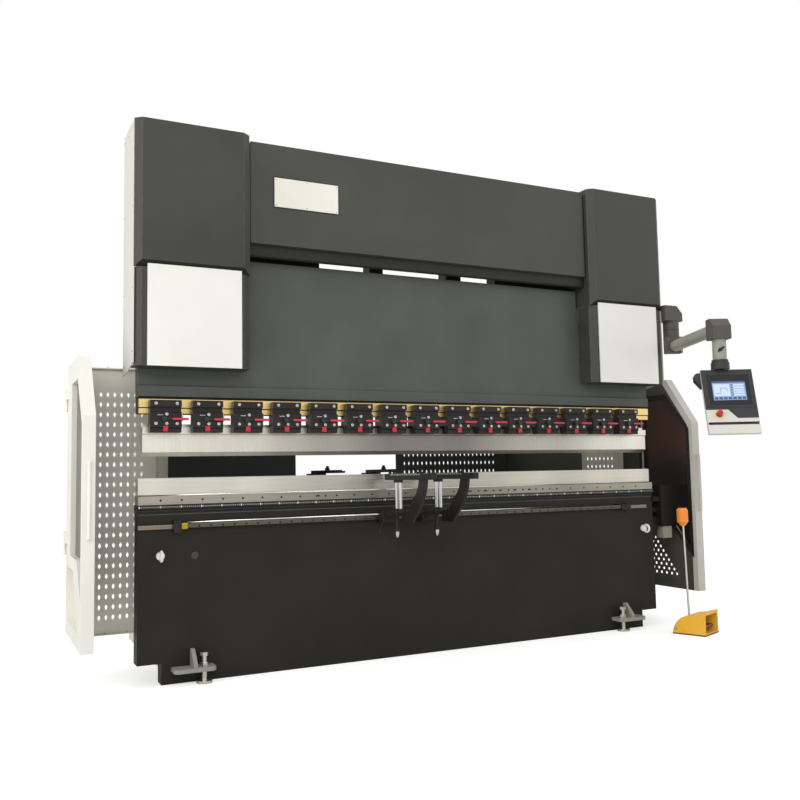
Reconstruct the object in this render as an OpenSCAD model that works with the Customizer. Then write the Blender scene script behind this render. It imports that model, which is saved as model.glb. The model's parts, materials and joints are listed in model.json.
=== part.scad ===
// Hydraulic press brake with side guards, support arms, operator pendant and foot switch.
// Lengths in millimetres, +Z up, the front of the machine faces -Y.
// The modules draw with Y = 0 at the front face of the bed; in_place() then moves
// the middle of the foot of the bed to the origin.

/* [Bed and tooling] */
// length of the bed, the ram and the tooling
bed_l = 3200; // [3000:10:3400]
// thickness of the bed plate
bed_t = 90; // [60:1:90]
// height of the top of the bed plate
bed_h = 812; // [790:1:820]
// clearance under the wide part of the bed
bed_low_z = 101; // [92:1:130]
// length of the foot of the bed
bed_foot_l = 2970; // [2950:10:3060]
// height of the crowning channel
channel_h = 44; // [40:1:50]
// height of the die holder
holder_h = 46; // [40:1:52]
// height of the die
die_h = 83; // [70:1:90]
// width of the opening of the vee in the die
vee_w = 32; // [16:1:44]
// gap between the die and the punch at rest
daylight = 106; // [106:1:112]
// height of the punch below the clamps
punch_h = 114; // [110:1:120]
// height of the clamps
clamp_h = 158; // [154:1:164]
// width of one clamp
clamp_w = 151; // [140:1:160]

/* [Ram] */
// thickness of the ram
ram_t = 80; // [60:1:80]
// height of the ram between the covers
ram_h = 717; // [690:1:719]
// height of the shoulders of the ram under the rods
shoulder_h = 517; // [500:1:530]
// radius of the piston rods
rod_r = 55; // [45:1:60]
// outer radius of the cylinders
cylinder_r = 120; // [110:1:126]

/* [Frame] */
// thickness of the side frames
frame_t = 45; // [30:1:60]
// distance between the inner faces of the side frames
frame_gap = 2750; // [2740:10:2770]
// distance from the face of the bed to the back of the side frames
frame_d = 1350; // [1300:10:1500]
// depth of the throat
throat_d = 410; // [380:1:420]
// height of the side frames
frame_h = 2680; // [2640:1:2690]

/* [Covers] */
// width of the front face of a cylinder cover
cover_w = 501; // [480:1:501]
// top of the cylinder covers
cover_top_z = 2725; // [2700:1:2760]
// wall of the sheet covers
sheet_t = 4; // [3:0.5:5]

/* [Guards] */
// thickness of a side guard
guard_t = 57; // [40:1:60]
// underside of a side guard
guard_z = 210; // [200:1:240]
// top of a side guard
guard_top_z = 1573; // [1550:1:1600]
// radius of the vent holes of a side guard
vent_r = 9; // [6:0.5:10]

/* [Pendant] */
// distance between the two vertical axes of the pendant
arm_l = 748; // [700:1:800]
// angle that the pendant arm stands away from the side of the machine
arm_turn = 24; // [0:1:30]
// angle that the operator panel faces away from the front
head_turn = 30; // [0:1:40]
// angle that the face of the operator panel leans back
head_tilt = 18; // [5:1:22]
// width of the operator panel
head_w = 278; // [260:1:300]
// height of the operator panel
head_h = 380; // [360:1:400]

/* [Support arms] */
// reach of a sheet support arm in front of the bed
support_l = 566; // [540:1:600]

/* [Foot switch] */
// width of the hood of the foot switch
hood_w = 193; // [170:1:210]
// height of the mouth of the hood
hood_h = 138; // [130:1:150]

/* [Hidden] */
// general
axis_y = bed_t / 2;
// running clearance of shafts and guides
run = 0.05;
// clearance between pieces that pass each other
pass = 5;
round_n = 48;
bed_x = bed_l / 2;
foot_x = bed_foot_l / 2;

// heights of the tooling, from the bed upwards
channel_z = bed_h;
holder_z = channel_z + channel_h;
die_z = holder_z + holder_h;
die_top_z = die_z + die_h;
punch_tip_z = die_top_z + daylight;
clamp_z = punch_tip_z + punch_h;
clamp_top_z = clamp_z + clamp_h;
ram_z = clamp_top_z + 20;
shoulder_z = ram_z + shoulder_h;
ram_top_z = ram_z + ram_h;

// die and punch
die_y0 = 16;
die_y1 = 76;
tip_y = (die_y0 + die_y1) / 2;
tip_w = 4;
tang_w = 14;
tang_h = 16;
neck_h = 29;
lip_over = 8;

// front rail
rail_h = 22;
rail_z1 = bed_h - 49;
rail_z0 = rail_z1 - rail_h;
rail_y = -28;
rail_x0 = -1373;
rail_x1 = 1327;
strip_x = 1400;
strip_y = -14;

// lifting eyes
eye_z = 611;
eye_r = 22;
eye_wire_r = 7;
eye_x0 = -1494;
eye_x1 = 1517;

// ram and clamps
ram_y = 13;
ram_y1 = ram_y + ram_t;
ledge_y = 14;
ledge_h = 57;
shoulder_x = 1060;
clamp_n = 15;
clamp_x0 = -1553;
clamp_step = 205.2;
clamp_y = -50;
clamp_back_y = -34;
pad_h = 33;
recess_h = 25;
band_h = 21;
chip = 4;
adapter_z = clamp_z + 29;
adapter_h = 66;
adapter_in = 22;
brass_y = 20;
brass_z = clamp_z + 95;

// levers of the clamps
lever_z = clamp_z + 65;
lever_x = 65;
lever_y = -66;
grip_x0 = 38;
grip_x1 = 112;
grip_r = 6;
hub_r = 12;
stem_r = 6;

// frame
frame_x0 = frame_gap / 2;
frame_x1 = frame_x0 + frame_t;
guide_gap = 24;
throat_z0 = bed_h + 38;
throat_z1 = ram_z + 117;
throat_r = 80;
cover_back_y = 192;
frame_step_z = shoulder_z + 75;
lift_r = 45;
tie_t = 40;
front_tie_y = 160;
rear_tie_y = frame_d - 20 - tie_t;
top_tie_y = frame_d - 650;
top_tie_z = frame_h - 300;

// feet
anchor_x = 1400;
anchor_y0 = -45;
anchor_y1 = frame_d + 65;
anchor_r = 12;
level_x = 1290;
level_r = 12;
bracket_x0 = 1240;
bracket_x1 = 1440;
bracket_l = 90;
bracket_z = 60;
bracket_t = 20;
rib_x = 1330;
rib_t = 20;
rib_h = 80;

// crossbeam
beam_x = 1062;
beam_y = -85;
beam_z = ram_top_z + 75;
beam_top_z = frame_h + 27;
lip_z = ram_top_z + 12;
skin_t = 4;
tie_plate_z = beam_z + 20;
tie_plate_top_z = frame_h - 20;
gib_z = ram_top_z - 40;
// blocks between which daylight shows over the ram
gibs = [[-beam_x, -620], [-315, -233], [180, 280], [520, beam_x]];

// cylinders and pump
cyl_x = 1400;
cyl_y = ram_y + ram_t / 2;
cyl_z = shoulder_z + 100;
cyl_base_h = 50;
cyl_base_w = 300;
cyl_top_z = cover_top_z - 125;
cyl_cap_h = 50;
cyl_floor = 40;
rod_top_z = cover_top_z - 285;
shelf_z = tie_plate_top_z - 250;
shelf_l = 560;
shelf_d = 260;
motor_x = -320;
motor_l = 330;
motor_r = 100;
pump_r = 55;
fin_t = 8;
fin_step = 26;
fin_n = 10;

// covers
cover_x0 = 1109;
cover_x1 = cover_x0 + cover_w;
cover_y = -136;
cover_low_y = -122;
bevel_x = 35;
bevel_y = 28;
bevel_z = 33;
cover_mid_z = 2028;
cover_low_z = 1519;
cover_edge_x = cover_x1 + bevel_x;
side_low_z = cover_low_z - 22;
panel_in_x = 13;
panel_in_x1 = 28;
white_t = 8;

// perforated panels
panel_y = 500;
panel_t = 3;
panel_z = 178;
panel_edge_x = 1766;
post_x0 = 1788;
post_x1 = 1808;
post_d = 43;
flange_t = 6;
flange_y = 22;
hole_x = 1497;
hole_z = 266;
hole_step_x = 35.2;
hole_step_z = 53;
hole_cols = 7;
hole_rows = 23;
hole_w = 15;
hole_h = 30;

// side guards
guard_x = post_x1 + pass;
guard_y0 = -157;
guard_y1 = 515;
guard_shoulder_z = guard_top_z - 297;
guard_shoulder_y = 60;
guard_skin = 4;
pane_in = 26;
pane_t = 6;
vent_z = 528;
vent_y = 215;
vent_step = 46.4;
vent_row = 28.3;
vent_rows = 9;
vent_back_y = 430;
vent_turn_y = 60;
pull_z0 = 722;
pull_z1 = 1062;
pull_r = 8;
pull_out = 30;
hinge_x = guard_x + guard_t + 8;
hinge_y = 524;
hinge_zs = [600, 1340];
knuckle_h = 60;
knuckle_r = 9;
hinge_pin_r = 4;
hinge_leaf = 6;

// crowning drive
drive_x0 = 1656;
drive_x1 = 1762;
drive_y0 = -20;
drive_y1 = 80;
drive_z0 = bed_h - 196;
drive_z1 = bed_h + 66;
drive_edge = 8;
coupling_r = 26;
plug_z = 540;

// rear guard and back gauge
rear_y = frame_d - 18;
rear_z0 = 420;
rear_z1 = 1250;
rear_window_x0 = -330;
rear_window_x1 = 430;
rear_window_z0 = 560;
rear_window_z1 = 1200;
side_rail_y0 = front_tie_y + 30;
side_rail_z = 560;
side_rail_h = 40;
side_rail_w = 120;
guide_w = 30;
guide_h = 22;
guide_in = 50;
gauge_y = 560;
gauge_d = 80;
gauge_x = 1300;
gauge_z0 = die_z - 22;
gauge_z1 = die_top_z - 25;
strip_h = 12;
strip_w = 20;
finger_x1 = -459;
finger_x2 = -98;
finger_w = 90;
finger_y = 200;
finger_z = gauge_z1 + strip_h + 22;
finger_h = 18;

// support arms
support_x1 = -290;
support_x2 = -50;
support_z = die_top_z - 1;
bar_h = 32;
bar_w = 28;
bar_gap = 31;
web_t = 14;
carriage_w = 100;
carriage_y = -75;
carriage_z0 = rail_z0 - 21;
carriage_z1 = rail_z1 + 23;
shelf_w = 80;
shelf_t = 22;
shelf_y = -215;
post_r = 9;
post_y1 = -145;
post_y2 = -190;
collar_r = 15;
collar_h = 14;

// pendant
pivot_x = 1735;
pivot_y = -95;
bracket_top_z = 2028;
elbow_w = 100;
elbow_r = 50;
joint_z = 1875;
knee_z = 1826;
knee_low_z = 1722;
tube_z = 1765;
tube_r = 36;
pin_r = 18;
end_z = 1818;
drop_z = 1700;
drop_r = 38;
socket_z = 1575;
ring_z = 1532;
ring_r = 50;
neck_y = 20;
neck_r = 26;
head_z = 1529;
head_off = 26;
head_out = 10.5;
tray_t = 21;
bezel_t = 2;
stop_u = -71;
stop_v = 266;

// foot switch
switch_x = 1550;
switch_y = -456;
switch_turn = 22;
hood_wall = 6;
hood_back = 80;
hood_rx = 120;
hood_rz = 116;
pedal_y = 180;
pedal_z = 33;
stick_x = 55;
stick_y = 118;
stick_r = 6;
stick_lean = -1.85;
knob_z = 640;
knob_h = 106;
knob_r = 33;

// Helpers

module in_place() translate([0, -axis_y, 0]) children();

// block between two corners
module block(a, b) translate(a) cube(b - a);

// outline in Y and Z drawn out along X
module along_x(x0, x1) translate([x0, 0, 0]) rotate([90, 0, 90]) linear_extrude(x1 - x0) children();

// outline in X and Z drawn out along Y
module along_y(y0, y1) translate([0, y1, 0]) rotate([90, 0, 0]) linear_extrude(y1 - y0) children();

// outline in X and Y drawn out along Z
module along_z(z0, z1) translate([0, 0, z0]) linear_extrude(z1 - z0) children();

module both_sides() {
    children();
    mirror([1, 0, 0]) children();
}

module rod_z(x, y, z0, z1, r) translate([x, y, z0]) cylinder(h = z1 - z0, r = r, $fn = round_n);
module rod_y(x, y0, y1, z, r) translate([x, y1, z]) rotate([90, 0, 0]) cylinder(h = y1 - y0, r = r, $fn = round_n);
module rod_x(x0, x1, y, z, r) translate([x0, y, z]) rotate([0, 90, 0]) cylinder(h = x1 - x0, r = r, $fn = round_n);

module diamond(w, h) polygon([[-w / 2, 0], [0, -h / 2], [w / 2, 0], [0, h / 2]]);

// Bed

module bed_plate() color("#32302a") in_place()
    along_y(0, bed_t)
        polygon([[-bed_x, bed_low_z], [-foot_x, bed_low_z], [-foot_x, 0], [foot_x, 0],
                 [foot_x, bed_low_z], [bed_x, bed_low_z], [bed_x, bed_h], [-bed_x, bed_h]]);

// channel with a scale strip and a drip nose on its front
module crowning_channel() color("#1c1c1a") in_place()
    along_x(-bed_x - 3, bed_x + 3)
        polygon([[0, channel_z], [bed_t, channel_z], [bed_t, holder_z], [-12, holder_z],
                 [-12, holder_z - 20], [-4, holder_z - 24], [-4, holder_z - 34], [0, holder_z - 38]]);

module die_holder() color("#b8b0a2") in_place()
    along_x(-bed_x, bed_x)
        polygon([[-8, holder_z], [bed_t, holder_z], [bed_t, die_z - 6], [bed_t - 6, die_z],
                 [-4, die_z], [-8, die_z - chip]]);

module die() color("#b9b2a6") in_place()
    along_x(-bed_x + 2, bed_x - 2)
        polygon([[die_y0, die_z], [die_y1, die_z], [die_y1, die_top_z], [tip_y + vee_w / 2, die_top_z],
                 [tip_y, die_top_z - vee_w / 2], [tip_y - vee_w / 2, die_top_z], [die_y0, die_top_z]]);

// guide rail in the middle and plain strips at the ends
module front_rail() color("#7a6a5e") in_place() {
    along_x(rail_x0, rail_x1)
        polygon([[0, rail_z0], [0, rail_z1], [rail_y + 2, rail_z1], [rail_y, rail_z1 - 2],
                 [rail_y, rail_z0 + 2], [rail_y + 2, rail_z0]]);
    block([-bed_x, strip_y, rail_z0 - 2], [-strip_x - 36, 0, rail_z1 - chip]);
    block([strip_x, strip_y, rail_z0 - 2], [bed_x - 60, 0, rail_z1 - chip]);
}

module rail_ends() color("#1a1a1a") in_place() {
    block([-strip_x - 36, -42, rail_z0 - 22], [-strip_x, 0, rail_z1 + 16]);
    rod_x(-strip_x, rail_x0, strip_y - 2, (rail_z0 + rail_z1) / 2, 15);
    block([rail_x1, -34, rail_z0 - 8], [rail_x1 + 45, 0, rail_z1 + 4]);
    block([rail_x1 + 45, -30, rail_z0 - 12], [strip_x, 0, rail_z1 + 8]);
}

module lifting_eye(x) translate([x, 0, eye_z]) {
    rod_y(0, -eye_r + 8, 0, 0, eye_r - 2);
    translate([0, -eye_r - 12, 0]) rotate([90, 0, 90]) rotate_extrude($fn = round_n)
        translate([eye_r, 0]) circle(r = eye_wire_r, $fn = 24);
}

module lifting_eyes() color("#e8e6e0") in_place() {
    lifting_eye(eye_x0);
    lifting_eye(eye_x1);
}

// bracket plate with the anchor hole and the levelling screw hole, its back at y0
module foot_plate(y0, side, ya) difference() {
    along_z(bracket_z, bracket_z + bracket_t)
        translate([0, y0]) scale([1, side]) polygon([
            [bracket_x0, 0], [bracket_x1, 0], [bracket_x1, bracket_l - 15], [bracket_x1 - 15, bracket_l],
            [bracket_x0 + 15, bracket_l], [bracket_x0, bracket_l - 15]]);
    rod_z(anchor_x, ya, bracket_z - 1, bracket_z + bracket_t + 1, anchor_r);
    rod_z(level_x, ya, bracket_z - 1, bracket_z + bracket_t + 1, level_r + run);
}

// leaning rib between the plate and the machine
module foot_rib(y0, side) along_x(rib_x, rib_x + rib_t)
    translate([y0, bracket_z + bracket_t]) scale([side, 1])
        polygon([[0, 0], [bracket_l - 6, 0], [bracket_l - 6, 16], [22, rib_h], [0, rib_h]]);

module floor_feet() color("#4c4a44") in_place() both_sides() {
    foot_plate(0, -1, anchor_y0);
    foot_rib(0, -1);
    foot_plate(frame_d, 1, anchor_y1);
    foot_rib(frame_d, 1);
}

module foot_screw(y) translate([level_x, y, 0]) {
    cylinder(h = 12, r = 38, $fn = round_n);
    translate([0, 0, 12]) cylinder(h = bracket_z + 56, r = level_r, $fn = round_n);
    translate([0, 0, bracket_z + bracket_t]) cylinder(h = 18, r = 20, $fn = 6);
    translate([0, 0, bracket_z + 68]) cylinder(h = 16, r = 20, $fn = 6);
}

module foot_screws() color("#b9b2a6") in_place() both_sides() {
    foot_screw(anchor_y0);
    foot_screw(anchor_y1);
}

// Frame

// side plate with the throat, a step for the cylinder and a lifting hole
module frame_outline() difference() {
    polygon([
        [bed_t, 0], [frame_d, 0], [frame_d, frame_h - 780], [frame_d - 200, frame_h - 300],
        [frame_d - 550, frame_h], [cover_back_y, frame_h], [cover_back_y, frame_step_z],
        [ram_y1 + guide_gap, frame_step_z], [ram_y1 + guide_gap, throat_z1],
        [throat_d - throat_r, throat_z1], [throat_d - 0.3 * throat_r, throat_z1 - 0.3 * throat_r],
        [throat_d, throat_z1 - throat_r], [throat_d, throat_z0 + throat_r],
        [throat_d - 0.3 * throat_r, throat_z0 + 0.3 * throat_r], [throat_d - throat_r, throat_z0],
        [bed_t + 12, throat_z0], [bed_t + 12, bed_h], [bed_t, bed_h]]);
    translate([cover_back_y + 3 * lift_r, frame_h - 2 * lift_r]) circle(r = lift_r, $fn = round_n);
}

module machine_frame() color("#4b4b44") in_place() {
    both_sides() along_x(frame_x0, frame_x1) frame_outline();
    block([-frame_x0, rear_tie_y, 60], [frame_x0, rear_tie_y + tie_t, 360]);
    block([-frame_x0, top_tie_y, top_tie_z], [frame_x0, top_tie_y + tie_t, top_tie_z + 200]);
    block([-frame_x0, front_tie_y, 240], [frame_x0, front_tie_y + 30, 640]);
}

// electric motor with cooling fins, coupling and pump, on a shelf behind the crossbeam
module pump_set() translate([0, cover_back_y + tie_t, shelf_z]) {
    block([motor_x - 60, 0, 0], [motor_x - 60 + shelf_l, shelf_d, 10]);
    for (x = [motor_x - 30, motor_x + shelf_l - 110])
        along_x(x, x + 10) polygon([[0, -150], [0, 0], [shelf_d, 0]]);
    for (x = [motor_x + 40, motor_x + motor_l - 70])
        block([x, 60, 10], [x + 30, 200, 60]);
    translate([0, 130, motor_r + 26]) {
        rod_x(motor_x, motor_x + motor_l, 0, 0, motor_r - fin_t);
        for (i = [0:fin_n - 1])
            rod_x(motor_x + 30 + i * fin_step, motor_x + 30 + i * fin_step + fin_t, 0, 0, motor_r);
        rod_x(motor_x + motor_l, motor_x + motor_l + 20, 0, 0, motor_r);
        rod_x(motor_x + motor_l + 20, motor_x + motor_l + 80, 0, 0, pump_r + 15);
        rod_x(motor_x + motor_l + 80, motor_x + motor_l + 150, 0, 0, pump_r);
    }
}

module crossbeam() color("#4b4b44") in_place() {
    block([-beam_x - 4, beam_y + skin_t, beam_z], [beam_x + 4, cover_back_y, beam_top_z - 7]);
    block([-beam_x, beam_y, beam_z], [beam_x, beam_y + skin_t, beam_top_z]);
    along_x(-beam_x - 4, beam_x + 4)
        polygon([[-60, beam_z], [-60, lip_z + 6], [-54, lip_z], [-30, lip_z], [-30, beam_z]]);
    for (gib = gibs)
        block([gib[0], ram_y1 + pass, gib_z], [gib[1], cover_back_y, beam_z]);
    block([-frame_x0, cover_back_y, tie_plate_z], [frame_x0, cover_back_y + tie_t, tie_plate_top_z]);
    pump_set();
}

module cylinder_unit() difference() {
    union() {
        along_z(cyl_z, cyl_z + cyl_base_h) polygon([
            [cyl_x - cyl_base_w / 2, -40], [cyl_x - cyl_base_w / 2 + 30, -70],
            [cyl_x + cyl_base_w / 2 - 30, -70], [cyl_x + cyl_base_w / 2, -40],
            [cyl_x + cyl_base_w / 2, cover_back_y], [cyl_x - cyl_base_w / 2, cover_back_y]]);
        rod_z(cyl_x, cyl_y, cyl_z + cyl_base_h, cyl_top_z, cylinder_r);
        rod_z(cyl_x, cyl_y, cyl_top_z, cyl_top_z + cyl_cap_h, cylinder_r - 30);
    }
    rod_z(cyl_x, cyl_y, cyl_z - 10, cyl_top_z - cyl_floor, rod_r + run);
}

module cylinders() color("#55554e") in_place() both_sides() cylinder_unit();

// Covers

// plan of a cover with bevelled front corners, drawn in by the wall d
module cover_outline(y, d) polygon([
    [cover_x0 - bevel_x + d, cover_back_y], [cover_x0 - bevel_x + d, y + bevel_y + d / 2],
    [cover_x0 + d / 2, y + d], [cover_x1 - d / 2, y + d],
    [cover_edge_x - d, y + bevel_y + d / 2], [cover_edge_x - d, cover_back_y]]);

module upper_cover() difference() {
    along_z(cover_mid_z - bevel_z, cover_top_z) cover_outline(cover_y, 0);
    along_z(cover_mid_z - bevel_z - 1, cover_top_z - sheet_t)
        translate([0, 1]) cover_outline(cover_y, sheet_t);
    // room for the side plate
    block([cover_edge_x - sheet_t, cover_y + bevel_y, cover_low_z],
          [cover_edge_x + 1, cover_back_y + 1, cover_top_z + 1]);
    // bevel along the bottom of the front face
    along_x(cover_x0 - bevel_x - 1, cover_edge_x + 1)
        polygon([[cover_y - 1, cover_mid_z], [cover_y - 1, cover_mid_z - bevel_z - 1],
                 [cover_y + bevel_y, cover_mid_z - bevel_z - 1], [cover_y + bevel_y, cover_mid_z - bevel_z],
                 [cover_y, cover_mid_z]]);
}

module upper_covers() color("#4c4c46") in_place() both_sides() upper_cover();

module lower_cover() intersection() {
    difference() {
        along_z(cover_low_z, cover_mid_z - bevel_z) cover_outline(cover_low_y, 0);
        along_z(cover_low_z + sheet_t, cover_mid_z) translate([0, 1]) cover_outline(cover_low_y, sheet_t);
    }
    block([cover_x0 - bevel_x, cover_low_y, cover_low_z],
          [cover_edge_x - sheet_t, ram_y - 8, cover_mid_z]);
}

module lower_covers() color("#3c3c38") in_place() both_sides() lower_cover();

module white_panels() color("#eeeee8") in_place() both_sides()
    block([cover_x0 + panel_in_x, cover_low_y - white_t, cover_low_z],
          [cover_x1 - panel_in_x1, cover_low_y, cover_mid_z - 17]);

module cover_sides() color("#d8d5c8") in_place() both_sides()
    along_x(cover_edge_x - sheet_t, cover_edge_x)
        polygon([[cover_y + bevel_y, side_low_z + 38], [100, side_low_z], [cover_back_y, side_low_z],
                 [cover_back_y, cover_top_z], [cover_y + bevel_y, cover_top_z]]);

// Perforated panels and guards

// panel with its flanges and the post that carries the hinges
module perforated_panel() {
    difference() {
        block([frame_x1, panel_y, panel_z], [panel_edge_x, panel_y + panel_t, guard_top_z]);
        for (c = [0:hole_cols - 1], r = [0:hole_rows - 1])
            along_y(panel_y - 1, panel_y + panel_t + 1)
                translate([hole_x + c * hole_step_x, hole_z + r * hole_step_z]) diamond(hole_w, hole_h);
    }
    block([panel_edge_x - 4, panel_y + panel_t, panel_z], [panel_edge_x, panel_y + post_d, guard_top_z]);
    for (z = [panel_z, guard_top_z - flange_t])
        block([frame_x1, panel_y - flange_y, z], [post_x1, panel_y, z + flange_t]);
    along_z(panel_z, guard_top_z) difference() {
        translate([post_x0, panel_y]) square([post_x1 - post_x0, post_d]);
        translate([post_x0 - 1, panel_y + panel_t]) square([post_x1 - post_x0 - 2, post_d - 2 * panel_t]);
    }
    for (z = [panel_z + 200, guard_top_z - 200])
        block([panel_edge_x - 4, panel_y + post_d - panel_t, z], [post_x0 + 1, panel_y + post_d, z + 60]);
    // fixed hinge knuckles with their pins
    for (z = hinge_zs) {
        block([post_x1 - 1, hinge_y - hinge_leaf / 2, z], [hinge_x, hinge_y + hinge_leaf / 2, z + knuckle_h]);
        rod_z(hinge_x, hinge_y, z, z + knuckle_h, knuckle_r);
        rod_z(hinge_x, hinge_y, z + knuckle_h, z + 2 * knuckle_h - 10, hinge_pin_r);
    }
}

module perforated_panels() color("#b5b1a6") in_place() both_sides() perforated_panel();

module guard_outline() polygon([
    [guard_y0, guard_z], [guard_y0, guard_shoulder_z], [guard_shoulder_y, guard_top_z],
    [guard_y1, guard_top_z], [guard_y1, guard_z]]);

module window_outline() polygon([
    [guard_y0 + 40, 430], [guard_y0 + 40, guard_shoulder_z - 41], [guard_shoulder_y + 15, guard_top_z - 108],
    [325, guard_top_z - 108], [325, 610], [guard_shoulder_y - 25, 610]]);

// staggered vent holes whose rows lengthen downwards
module vent_holes() for (r = [0:vent_rows - 1])
    for (y = [vent_y - r * vent_step / 2:vent_step:vent_back_y])
        translate([y, vent_z - r * vent_row]) circle(r = vent_r, $fn = 24);

// field around the vent holes, open on the outside so that light comes through
module vent_field() polygon([
    [vent_y - 20, vent_z + 20], [vent_back_y + vent_turn_y, vent_z + 20],
    [vent_back_y + vent_turn_y, vent_z - vent_rows * vent_row + 6],
    [vent_y - 20 - vent_rows * vent_step / 2, vent_z - vent_rows * vent_row + 6]]);

// round bar bent to a pull, on the front edge of a guard
module guard_pull() {
    x = guard_x + guard_t / 2;
    y = guard_y0 - pull_out + pull_r;
    rod_z(x, y, pull_z0, pull_z1, pull_r);
    for (z = [pull_z0, pull_z1]) {
        rod_y(x, y, guard_y0, z, pull_r);
        translate([x, y, z]) sphere(r = pull_r, $fn = 32);
    }
}

module guard_body() {
    difference() {
        along_x(guard_x, guard_x + guard_t) guard_outline();
        along_x(guard_x - 1, guard_x + guard_t + 1) window_outline();
        along_x(guard_x - 1, guard_x + guard_skin + 1) vent_holes();
        along_x(guard_x + guard_skin, guard_x + guard_t + 1) vent_field();
    }
    for (z = hinge_zs) difference() {
        union() {
            block([guard_x + guard_t - 1, guard_y1 - 40, z + knuckle_h + run],
                  [hinge_x, guard_y1 - 34, z + 2 * knuckle_h]);
            block([hinge_x - 4, guard_y1 - 40, z + knuckle_h + run],
                  [hinge_x + 4, hinge_y, z + 2 * knuckle_h]);
            rod_z(hinge_x, hinge_y, z + knuckle_h + run, z + 2 * knuckle_h, knuckle_r);
        }
        rod_z(hinge_x, hinge_y, z + knuckle_h - 1, z + 2 * knuckle_h + 1, hinge_pin_r + run);
    }
    guard_pull();
}

module guard_window() along_x(guard_x + pane_in, guard_x + pane_in + pane_t) window_outline();

module guard_left() color("#dcd8cc") in_place() mirror([1, 0, 0]) guard_body();
module guard_right() color("#dcd8cc") in_place() guard_body();
module window_left() color("#5a4632") in_place() mirror([1, 0, 0]) guard_window();
module window_right() color("#5a4632") in_place() guard_window();

// Crowning drive, rear guard and back gauge

// gear housing beside the bed, held by the end of the channel and a bracket on the bed
module crowning_drive() color("#22221f") in_place() {
    along_x(drive_x0, drive_x1)
        polygon([[drive_y0, drive_z0 + drive_edge], [drive_y0 + drive_edge, drive_z0],
                 [drive_y1, drive_z0], [drive_y1, drive_z1], [drive_y0 + drive_edge, drive_z1],
                 [drive_y0, drive_z1 - drive_edge]]);
    block([bed_x, -10, bed_h - 36], [drive_x0, 60, bed_h - 6]);
    rod_x(bed_x, drive_x0, 36, bed_h - 90, coupling_r);
    along_y(10, 60)
        polygon([[bed_x, drive_z0 - 76], [bed_x, drive_z0 + 60], [drive_x0, drive_z0 + 60],
                 [drive_x0, drive_z0], [bed_x + 20, drive_z0 - 76]]);
    // cable plug under the housing
    block([drive_x0 + 24, -6, plug_z], [drive_x1 - 10, 50, drive_z0]);
}

// sheet guard with an open middle, folded edges and a perforated field
module rear_guard() color("#3a3c3a") in_place() {
    difference() {
        block([-frame_x0, rear_y, rear_z0], [frame_x0, rear_y + sheet_t, rear_z1]);
        block([rear_window_x0, rear_y - 1, rear_window_z0],
              [rear_window_x1, rear_y + sheet_t + 1, rear_window_z1]);
        for (c = [0:21], r = [0:9])
            along_y(rear_y - 1, rear_y + sheet_t + 1)
                translate([rear_window_x1 + 70 + c * 36, rear_window_z0 + r * 62]) diamond(14, 34);
    }
    for (z = [rear_z0, rear_z1 - 30])
        block([-frame_x0, rear_y + sheet_t, z], [frame_x0, frame_d, z + 30]);
}

// side beams with the guide rails that the back gauge runs on
module gauge_rails() color("#8f8f8c") in_place() both_sides() {
    along_y(side_rail_y0, rear_tie_y)
        polygon([[frame_x0, side_rail_z], [frame_x0, side_rail_z + side_rail_h],
                 [frame_x0 - side_rail_w, side_rail_z + side_rail_h],
                 [frame_x0 - side_rail_w, side_rail_z + side_rail_h - 12], [frame_x0 - 20, side_rail_z]]);
    block([frame_x0 - guide_in - guide_w, side_rail_y0 + 30, side_rail_z + side_rail_h],
          [frame_x0 - guide_in, rear_tie_y - 30, side_rail_z + side_rail_h + guide_h]);
}

module gauge_carriage() {
    x0 = frame_x0 - guide_in - guide_w;
    z0 = side_rail_z + side_rail_h;
    block([x0 - 30, gauge_y - 20, z0 + 50], [x0 + 5, gauge_y + gauge_d + 20, gauge_z0]);
    difference() {
        block([x0 - 30, gauge_y - 40, z0 + pass], [x0 + guide_w + 30, gauge_y + gauge_d + 40, z0 + 50]);
        block([x0 - run, gauge_y - 50, z0], [x0 + guide_w + run, gauge_y + gauge_d + 50, z0 + guide_h + run]);
    }
}

module gauge_beam() color("#3a3c3a") in_place() {
    along_x(-gauge_x, gauge_x)
        polygon([[gauge_y, gauge_z0 + 10], [gauge_y + 10, gauge_z0], [gauge_y + gauge_d, gauge_z0],
                 [gauge_y + gauge_d, gauge_z1], [gauge_y, gauge_z1]]);
    block([-gauge_x, gauge_y + 14, gauge_z1], [gauge_x, gauge_y + 14 + strip_w, gauge_z1 + strip_h]);
    both_sides() gauge_carriage();
}

// stop finger with a stepped nose on a carriage
module finger(x) {
    difference() {
        block([x - finger_w / 2, gauge_y - 4, gauge_z1 + pass], [x + finger_w / 2, gauge_y + 90, finger_z]);
        block([x - finger_w / 2 - 1, gauge_y + 14 - run, gauge_z1],
              [x + finger_w / 2 + 1, gauge_y + 14 + strip_w + run, gauge_z1 + strip_h + run]);
    }
    along_x(x - 20, x + 20)
        polygon([[finger_y + 8, finger_z], [gauge_y + 80, finger_z], [gauge_y + 80, finger_z + finger_h],
                 [finger_y + 45, finger_z + finger_h], [finger_y + 45, finger_z + finger_h - 6],
                 [finger_y, finger_z + finger_h - 6], [finger_y, finger_z + 4]]);
    rod_z(x, finger_y + 220, finger_z + finger_h, finger_z + finger_h + 12, 14);
    rod_z(x, finger_y + 220, finger_z + finger_h + 12, finger_z + finger_h + 24, 9);
}

module finger_left() color("#222420") in_place() finger(finger_x1);
module finger_right() color("#222420") in_place() finger(finger_x2);

// Ram

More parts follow.
